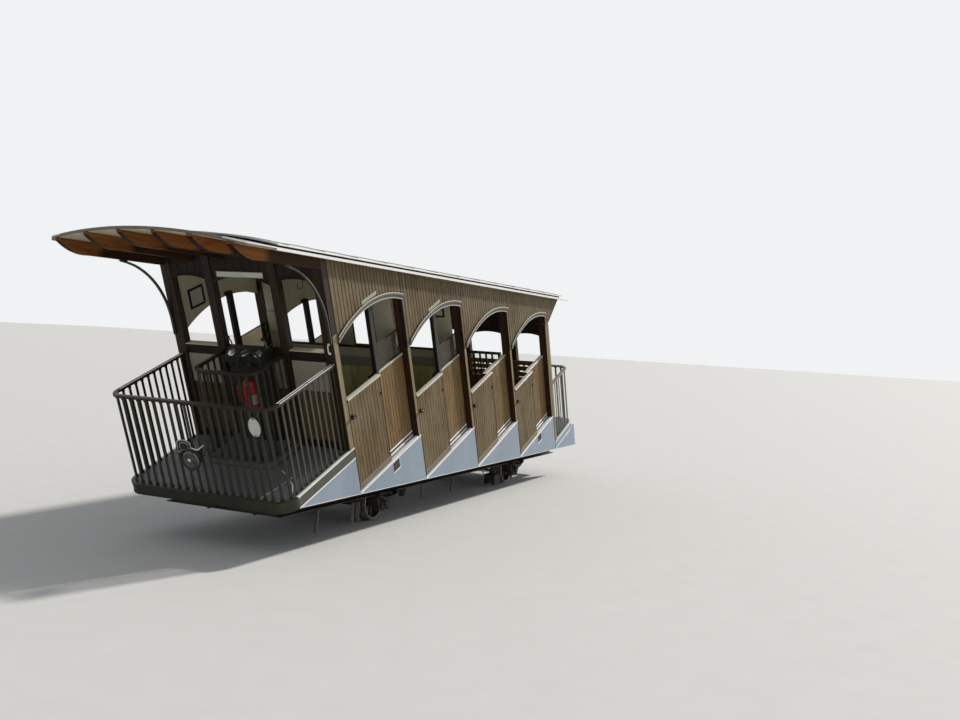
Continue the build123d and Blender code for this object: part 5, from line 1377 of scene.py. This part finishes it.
for z0, x0, x1 in ((DESK[1], DESK[0] - 0.094, DESK[0]), (DESK[1] - 0.116, DESK[0] - 0.196,
        DESK[0] - 0.184)):
    desk_edges.bar(x0, x1, -0.256, 0.256, z0 - 0.004, z0 + 0.004, 0.002)
desk_edges.bar(DESK[0] - 0.126, DESK[0] - 0.119, -0.200, 0.200, 0.760, 1.520, 0.002)
desk_edges.bar(DESK[0] - 0.131, DESK[0] - 0.125, -0.030, 0.030, 1.10, 1.125, 0.002)
desk_edges.make("desk_edges_and_door", DESK_PAINT, slot="desk_dark")

BOTTLE_X = -0.590                      # the extinguisher's two bottles stand side by side
BOTTLE_Y = -0.265
SMALL_BOTTLE_Y = -0.150
red = Shape()
red.turned((BOTTLE_X, BOTTLE_Y, 1.200), (0, 0, 1), [(0, 0.060), (0.012, 0.072), (0.030, 0.075),
    (0.290, 0.075), (0.325, 0.066), (0.350, 0.040), (0.362, 0.020), (0.380, 0.018)], 28)
red.turned((BOTTLE_X, SMALL_BOTTLE_Y, 1.300), (0, 0, 1), [(0, 0.034), (0.008, 0.040), (0.170, 0.040),
    (0.190, 0.030)], 20)
red.make("fire_extinguisher", RED_PAINT, slot="desk_dark", smooth=40)
label = Shape()
for x, y, size, low, high in ((BOTTLE_X, BOTTLE_Y, 0.0765, 1.290, 1.395),
        (BOTTLE_X, SMALL_BOTTLE_Y, 0.0412, 1.350, 1.425)):
    rings = []
    for dx, dy in arc((0, 0), 1.0, 195, 275, 10):
        rings.append([(x + dx * size, y + dy * size, low), (x + dx * (size - 0.002),
            y + dy * (size - 0.002), low), (x + dx * (size - 0.002), y + dy * (size - 0.002), high),
            (x + dx * size, y + dy * size, high)])
    label.loft(rings)
label.make("extinguisher_blank_labels", PALE_RAIL, slot="desk_dark", smooth=40)
black = Shape()
black.turned((BOTTLE_X, BOTTLE_Y, 1.572), (0, 0, 1), [(0, 0.022), (0.018, 0.026), (0.030, 0.018)], 18)
black.tube([(-0.600, BOTTLE_Y, 1.592), (-0.650, BOTTLE_Y, 1.612)], 0.007)
black.tube([(-0.590, -0.250, 1.585), (-0.590, -0.190, 1.560), (-0.600, -0.178, 1.480),
    (-0.610, -0.180, 1.330)], 0.010)
for z in (1.270, 1.480):
    black.hoop((BOTTLE_X, BOTTLE_Y, z), (0, 0, 1), 0.0765, 0.003)
    black.bar(-0.640, -0.628, -0.32, -0.21, z - 0.008, z + 0.008, 0.002)
black.make("extinguisher_valve_hose_and_clips", BLACK_RUBBER, slot="desk_dark", smooth=50)

# Interior: duckboards, benches, partitions, pictures
boards = Shape()
for bay in range(BAYS):
    x, z = bay_origin(bay)
    for y0, y1 in spaced(-0.880, 0.880, 0.110, 0.018):
        boards.bar(x + 0.020, bench_back(bay) - BENCH_DEPTH - 0.02, y0, y1, z + 0.0002, z + 0.010, 0.002)
boards.make("floor_boards", INNER_BOARDS, slot="deck_grey")
slats = Shape()
for bay in range(BAYS):
    z = bay_origin(bay)[1]
    back = bench_back(bay) - (0.0323 if bay < GLAZED_BAYS else 0.0)
    front = bench_back(bay) - BENCH_DEPTH
    for x0, x1 in spaced(front - 0.012, back - 0.034, 0.062, 0.012):
        slats.bar(x0, x1, -BENCH_HALF, BENCH_HALF, z + BENCH_TOP, z + BENCH_TOP + 0.009, 0.003)
    for y0, y1 in spaced(-BENCH_HALF, BENCH_HALF, 0.090, 0.004):
        slats.across_board(y0, y1, z + 0.004, z + BENCH_TOP - 0.034, front + 0.040, -0.006)
    if bay == BAYS - 1:
        for z0 in (0.52, 0.62, 0.72, 0.82, 0.92):
            slats.bar(back - 0.044, back - 0.032, -BENCH_HALF, BENCH_HALF, z + z0, z + z0 + 0.078, 0.003)
slats.make("bench_slats", BENCH_WOOD, slot="slat_wood")
CAP_HALF = 0.640                       # half the length of a partition's top rail
olive, green, rail_caps = Shape(), Shape(), Shape()
for bay in range(GLAZED_BAYS):
    z = bay_origin(bay)[1]
    back = bench_back(bay)
    face = back - 0.032
    half = PARTITION_HALF - 0.002
    for y0, y1 in spaced(-half, half, 0.098, 0.003):
        olive.across_board(y0, y1, z + BENCH_TOP + 0.012, z + 0.898, face, -0.005)
        olive.across_board(y0, y1, z + 0.010, z + 0.898, back, 0.005)
    for x0, x1 in ((face - 0.007, face), (back, back + 0.007)):
        green.bar(x0, x1, -half, half, z + 0.900, z + 1.030, 0.002)
    top = z + PARTITION_TOP
    rail_caps.bar(face - 0.008, back + 0.008, -CAP_HALF, CAP_HALF, top, top + 0.014, 0.004)
    for sign in (-1, 1):
        y0, y1 = sorted((sign * CAP_HALF, sign * 0.632))
        rail_caps.bar(face - 0.004, back + 0.004, y0, y1, top + 0.014, z + 2.05, 0.003)
olive.make("partition_boards", OLIVE_BAND, slot="wall_cream")
green.make("partition_dark_bands", GREEN_BAND, slot="wall_cream")
rail_caps.make("partition_trims", MAHOGANY_AND_PAINTED_SHADE, slot="post_wood")


def picture(name, corners, depth):
    """Blank picture in a dark frame: three places are the corner, the right and the up edge."""
    corner, right, up = (Vector(value) for value in corners)
    out = right.cross(up).normalized() * depth
    border = 0.024
    frame_shape, inside = Shape(), Shape()
    wide, tall = right.length, up.length
    right.normalize()
    up.normalize()
    for a0, a1, b0, b1 in ((0, wide, 0, border), (0, wide, tall - border, tall),
            (0, border, border, tall - border), (wide - border, wide, border, tall - border)):
        ring = [corner + right * a + up * b for a, b in ((a0, b0), (a1, b0), (a1, b1), (a0, b1))]
        middle = corner + right * (a0 + a1) / 2 + up * (b0 + b1) / 2
        inner = [point + (middle - point) * 0.12 + out for point in ring]
        frame_shape.loft([ring, [point + out * 0.7 for point in ring], inner])
    ring = [corner + right * a + up * b for a, b in ((border, border), (wide - border, border),
        (wide - border, tall - border), (border, tall - border))]
    inside.loft([ring, [point + out * 0.35 for point in ring]])
    frame_shape.make(f"{name}_frame", DARK_WOOD, slot="post_wood")
    inside.make(f"{name}_card", PICTURE_CARD, slot="wall_cream")


picture("far_wall_picture", ((0.190, HALF - WALL - 0.0055, 1.990), (0.256, 0, 0), (0, 0, 0.229)), 0.014)
wing = bench_back(1) - 0.032
picture("wing_picture", ((wing - 0.0003, -0.655, bay_origin(1)[1] + 1.62), (0, -0.155, 0), (0, 0, 0.13)),
    0.010)
box_face = bench_back(0) - 0.032
box = Shape()
box.bar(box_face - 0.045, box_face, 0.700, 0.860, 1.300, 1.560, 0.006)
box.bar(box_face - 0.049, box_face - 0.044, 0.712, 0.848, 1.315, 1.545, 0.003)
box.turned((box_face - 0.048, 0.735, 1.430), (-1, 0, 0), [(0, 0.010), (0.006, 0.010), (0.008, 0.006)], 14)
box.make("switch_box", CREAM, slot="wall_cream")

# Underframe: bolts, brackets, brake rods, hangers
for side, sign in SIDES:
    bolts, gear, guards = (Shape(outward(sign, track_at)) for _ in range(3))
    outer = SOLEBAR_Y + 0.039
    for k in range(40):
        s = -1.02 + k * 0.21
        for h in (SOLEBAR_TOP - 0.024, SOLEBAR_FOOT + 0.024):
            bolts.turned((s, SOLEBAR_Y - 0.039, h), (0, -1, 0),
                [(0, 0.009), (0.006, 0.009), (0.0075, 0.006)], 6)
    for name, s in AXLE_AT:
        for ds in (-0.113, 0.113):
            for h in (-0.20, -0.255, -0.31):
                bolts.bolt((s + ds, outer, h), (0, 1, 0), 0.008, 0.008)
        face = SOLEBAR_Y + 0.055 + 0.020
        bolts.turned((s, face - 0.001, AXLE_HEIGHT), (0, 1, 0), [(0, 0.054), (0.006, 0.054), (0.009, 0.048),
            (0.010, 0.020), (0.014, 0.018)], 28)
        for k in range(6):
            ds, dh = polar(0.044, 60 * k)
            bolts.bolt((s + ds, face + 0.005, AXLE_HEIGHT + dh), (0, 1, 0), 0.0055, 0.007)
        bolts.bar(s - 0.030, s + 0.030, SOLEBAR_Y - 0.020, SOLEBAR_Y + 0.020, AXLE_HEIGHT - 0.108,
            AXLE_HEIGHT - 0.074, 0.004)
        for leaf in range(5):
            reach = 0.215 - 0.034 * leaf
            rings = []
            for k in range(13):
                u = -reach + 2 * reach * k / 12
                low = AXLE_HEIGHT + 0.060 - 0.009 * leaf + 0.55 * u * u
                y0, y1 = SOLEBAR_Y + 0.058, SOLEBAR_Y + 0.104
                rings.append([(s + u, y0, low), (s + u, y1, low), (s + u, y1, low + 0.0078),
                    (s + u, y0, low + 0.0078)])
            bolts.loft(rings)
        bolts.bar(s - 0.030, s + 0.030, SOLEBAR_Y + 0.052, SOLEBAR_Y + 0.108, AXLE_HEIGHT + 0.016,
            AXLE_HEIGHT + 0.072, 0.004)
        for ds in (-0.212, 0.212):
            bolts.bar(s + ds - 0.012, s + ds + 0.012, SOLEBAR_Y + 0.036, SOLEBAR_Y + 0.106,
                AXLE_HEIGHT + 0.078, SOLEBAR_FOOT + 0.040, 0.004)
        for ds in (-1, 1):
            shoe = []
            for radius in (0.245, 0.285):
                points = arc((s, AXLE_HEIGHT), radius, -28, 22, 8)
                if ds < 0:
                    points = [(2 * s - x, z) for x, z in points]
                shoe += points if radius < 0.26 else points[::-1]
            gear.side_on(shoe, WHEEL_Y - 0.045, WHEEL_Y + 0.014)
            gear.side_on([(s + ds * 0.262, AXLE_HEIGHT - 0.04), (s + ds * 0.292, AXLE_HEIGHT - 0.04),
                (s + ds * 0.312, SOLEBAR_FOOT + 0.05), (s + ds * 0.282, SOLEBAR_FOOT + 0.05)],
                WHEEL_Y - 0.022, WHEEL_Y - 0.008)
        gear.tube([(s - 0.285, WHEEL_Y - 0.10, AXLE_HEIGHT - 0.10),
            (s + 0.285, WHEEL_Y - 0.10, AXLE_HEIGHT - 0.10)], 0.012)
    gear.tube([(-0.95, 0.300, -0.205), (7.10, 0.300, -0.205)], 0.011, 8)
    for s in (0.2, 1.9, 3.25, 4.6, 6.6):
        gear.bar(s - 0.008, s + 0.008, 0.292, 0.308, -0.205, SOLEBAR_FOOT + 0.010, 0.002)
        gear.turned((s - 0.020, 0.300, -0.205), (1, 0, 0), [(0, 0.019), (0.040, 0.019)], 14)
    for s in (1.60, 4.60):
        for lean in (-1, 1):
            gear.side_on([(s + lean * 0.036, SOLEBAR_FOOT - 0.0005),
                (s + lean * 0.056, SOLEBAR_FOOT - 0.0005),
                (s + lean * 0.012, -0.262), (s - lean * 0.006, -0.262)], SOLEBAR_Y - 0.02,
                SOLEBAR_Y + 0.040)
        gear.turned((s, SOLEBAR_Y - 0.025, -0.258), (0, 1, 0), [(0, 0.014), (0.070, 0.014)], 14)
    gear.tube([(2.18, SOLEBAR_Y - 0.01, SOLEBAR_FOOT), (2.18, SOLEBAR_Y - 0.01, -0.350)], 0.006, 8)
    guards.tube([(2.18, SOLEBAR_Y - 0.01, -0.346), (2.18, SOLEBAR_Y - 0.01, -0.402)], 0.008, 8)
    guards.tube([(4.19, SOLEBAR_Y, SOLEBAR_FOOT), (4.21, SOLEBAR_Y, -0.225), (4.235, SOLEBAR_Y, -0.300)],
        0.009, 8)
    for s, foot in ((-0.36, -0.465), (3.10, -0.417)) if side == "near" else ():
        guards.tube([(s, SOLEBAR_Y + 0.02, SOLEBAR_FOOT + 0.002), (s, SOLEBAR_Y + 0.02, foot)], 0.0070, 10)
        gear.tube([(s - 0.055, SOLEBAR_Y + 0.02, SOLEBAR_FOOT + 0.002),
            (s - 0.055, SOLEBAR_Y + 0.02, foot + 0.03)], 0.0060, 10)
        gear.bar(s - 0.080, s + 0.024, SOLEBAR_Y - 0.004, SOLEBAR_Y + 0.044, SOLEBAR_FOOT - 0.012,
            SOLEBAR_FOOT, 0.002)
    loop = [(0.270, -0.170), (0.270, -0.370), (0.282, -0.405), (0.308, -0.420), (0.352, -0.420),
        (0.378, -0.405), (0.390, -0.370), (0.390, -0.170)]
    rings = []
    for k, (s, h) in enumerate(loop):
        before, after = loop[max(k - 1, 0)], loop[min(k + 1, len(loop) - 1)]
        size = math.dist(before, after)
        across = ((after[1] - before[1]) / size * 0.0035, (before[0] - after[0]) / size * 0.0035)
        rings.append([(s - across[0], SOLEBAR_Y + 0.062, h - across[1]),
            (s + across[0], SOLEBAR_Y + 0.062, h + across[1]),
            (s + across[0], SOLEBAR_Y + 0.098, h + across[1]),
            (s - across[0], SOLEBAR_Y + 0.098, h - across[1])])
    guards.loft(rings)
    gear.bar(0.262, 0.398, SOLEBAR_Y + 0.034, SOLEBAR_Y + 0.098, -0.186, -0.174, 0.003)
    bolts.make(f"{side}_springs_and_bolts", FRAME_BLACK, slot="frame_black", smooth=40)
    gear.make(f"{side}_brake_gear", FRAME_BLACK, slot="frame_black", smooth=40)
    guards.make(f"{side}_hangers_and_rail_loop", DUSTY_STEEL, slot="frame_black", smooth=50)

cross = Shape(track_at)
for name, s in AXLE_AT:
    for ds in (-0.285, 0.285):
        cross.tube([(s + ds, -WHEEL_Y + 0.02, AXLE_HEIGHT - 0.03),
            (s + ds, WHEEL_Y - 0.02, AXLE_HEIGHT - 0.03)], 0.015)
cross.tube([(-0.93, -0.42, -0.10), (-0.93, 0.42, -0.10)], 0.030, 16)
for y in (-0.30, 0.30):
    cross.turned((-0.90, y, -0.10), (0, 1, 0), [(-0.02, 0.045), (0.02, 0.045)], 18)
cross.make("brake_beams", FRAME_BLACK, slot="frame_black", smooth=40)

# Wheels: bright treads, hub caps and bolts, turning with each wheelset
for name, s in AXLE_AT:
    treads, caps = Shape(track_at), Shape(track_at)
    for sign in (-1, 1):
        out = (0, sign, 0)
        centre = (s, sign * WHEEL_Y, AXLE_HEIGHT)
        rings = []
        for k in range(73):
            a = 2 * math.pi * k / 72
            rings.append([(s + r * math.cos(a), sign * (WHEEL_Y + y), AXLE_HEIGHT + r * math.sin(a))
                for y, r in ((-0.020, 0.2395), (-0.020, 0.2406), (0.040, 0.2406), (0.040, 0.2395))])
        treads.loft(rings, caps=False)
        treads.hoop((s, sign * (WHEEL_Y + 0.052), AXLE_HEIGHT), out, 0.2255, 0.0055, 48)
        caps.turned((s, sign * (WHEEL_Y + 0.063), AXLE_HEIGHT), out,
            [(0, 0.070), (0.006, 0.070), (0.010, 0.062), (0.012, 0.052)], 30)
        for k in range(8):
            dx, dz = polar(0.057, 22.5 + 45 * k)
            caps.turned((s + dx, sign * (WHEEL_Y + 0.070), AXLE_HEIGHT + dz), out,
                [(0, 0.0075), (0.007, 0.0075), (0.0085, 0.005)], 6)
            dx, dz = polar(0.214, 22.5 + 45 * k)
            caps.turned((s + dx, sign * (WHEEL_Y + 0.051), AXLE_HEIGHT + dz), out,
                [(0, 0.009), (0.0025, 0.008), (0.004, 0.004)], 10)
    treads.make(f"{name}_bright_treads", TREAD_STEEL, f"{name}_wheelset", "wheel_steel", 40)
    caps.make(f"{name}_hub_caps_and_rivets", WHEEL_IRON, f"{name}_wheelset", "wheel_steel", 40)

# Rope plate and end bolts
ends = Shape(track_at)
for y in (-0.058, 0.058):
    ends.turned((-1.150, y, -0.099), (0, math.copysign(1, y), 0), [(-0.006, 0.034), (0.004, 0.034)], 24)
for y in (-0.45, -0.25, 0.25, 0.45):
    for s, way in ((-1.090, -1), (SKIRT_END - 0.309, 1)):
        ends.bolt((s, y, -0.075), (way, 0, 0), 0.011, 0.010)
        ends.bolt((s, y, -0.125), (way, 0, 0), 0.011, 0.010)
ends.make("headstock_bolts", FRAME_BLACK, slot="frame_black")


# Stage, lights and camera
stage = Nodes("floor_grey")
grain = stage.noise(stage.coordinates(), 3.0, 4.0, 0.5)
stage.drive(stage.ramp(grain, [(0.3, (0.50, 0.50, 0.49)), (0.7, (0.52, 0.52, 0.51))]), "Base Color")
stage.set("Roughness", 0.9)
floor_mesh = bpy.data.meshes.new("studio_floor")
reach = 150.0
floor_mesh.from_pydata([(-reach, -reach, 0), (reach, -reach, 0), (reach, reach, 0), (-reach, reach, 0)], [],
    [(0, 1, 2, 3)])
floor_mesh.materials.append(stage.material)
studio_floor = bpy.data.objects.new("studio_floor", floor_mesh)
bpy.context.scene.collection.objects.link(studio_floor)

world = bpy.data.worlds.new("studio")
bpy.context.scene.world = world
world.use_nodes = True
tree = world.node_tree
soft = tree.nodes["Background"]
soft.inputs["Color"].default_value = (0.93, 0.96, 1.0, 1.0)
soft.inputs["Strength"].default_value = 0.50
seen = tree.nodes.new("ShaderNodeBackground")
seen.inputs["Color"].default_value = (0.88, 0.89, 0.90, 1.0)
seen.inputs["Strength"].default_value = 1.0
ray = tree.nodes.new("ShaderNodeLightPath")
either = tree.nodes.new("ShaderNodeMath")
through = tree.nodes.new("ShaderNodeMath")
blend = tree.nodes.new("ShaderNodeMixShader")
either.operation = through.operation = "MAXIMUM"
for source, target in ((ray.outputs["Is Camera Ray"], either.inputs[0]),
        (ray.outputs["Is Glossy Ray"], either.inputs[1]),
        (either.outputs[0], through.inputs[0]), (ray.outputs["Is Transmission Ray"], through.inputs[1]),
        (through.outputs[0], blend.inputs["Fac"]), (soft.outputs[0], blend.inputs[1]),
        (seen.outputs[0], blend.inputs[2]),
        (blend.outputs[0], tree.nodes["World Output"].inputs["Surface"])):
    tree.links.new(source, target)

KEY_FROM = Vector((0.774, -0.299, 0.559))
key_data = bpy.data.lights.new("key", "SUN")
key_data.energy = 4.2
key_data.angle = math.radians(4)
key_data.color = (1.0, 0.96, 0.90)
key = bpy.data.objects.new("key", key_data)
key.rotation_euler = KEY_FROM.to_track_quat("Z", "Y").to_euler()
bpy.context.scene.collection.objects.link(key)

# Camera found from the photograph's vanishing lines and the car's known corners
CAMERA_AT = track_at(-9.8455, -6.6720, 1.7958)
RIGHT = Vector((0.40027, -0.91454, 0.05838))
DOWN = Vector((0.00314, -0.06234, -0.99805))
AHEAD = Vector((0.91639, 0.39967, -0.02208))
FOCAL_PIXELS = 1019.37
PHOTO_WIDTH = 960
camera_data = bpy.data.cameras.new("camera")
camera_data.sensor_width = 36.0
camera_data.lens = FOCAL_PIXELS / PHOTO_WIDTH * camera_data.sensor_width
camera = bpy.data.objects.new("camera", camera_data)
turn = Matrix((RIGHT, -DOWN, -AHEAD)).transposed()
camera.matrix_world = Matrix.Translation(CAMERA_AT) @ turn.to_4x4()
bpy.context.scene.collection.objects.link(camera)
bpy.context.scene.camera = camera
bpy.context.scene.view_settings.view_transform = "Standard"
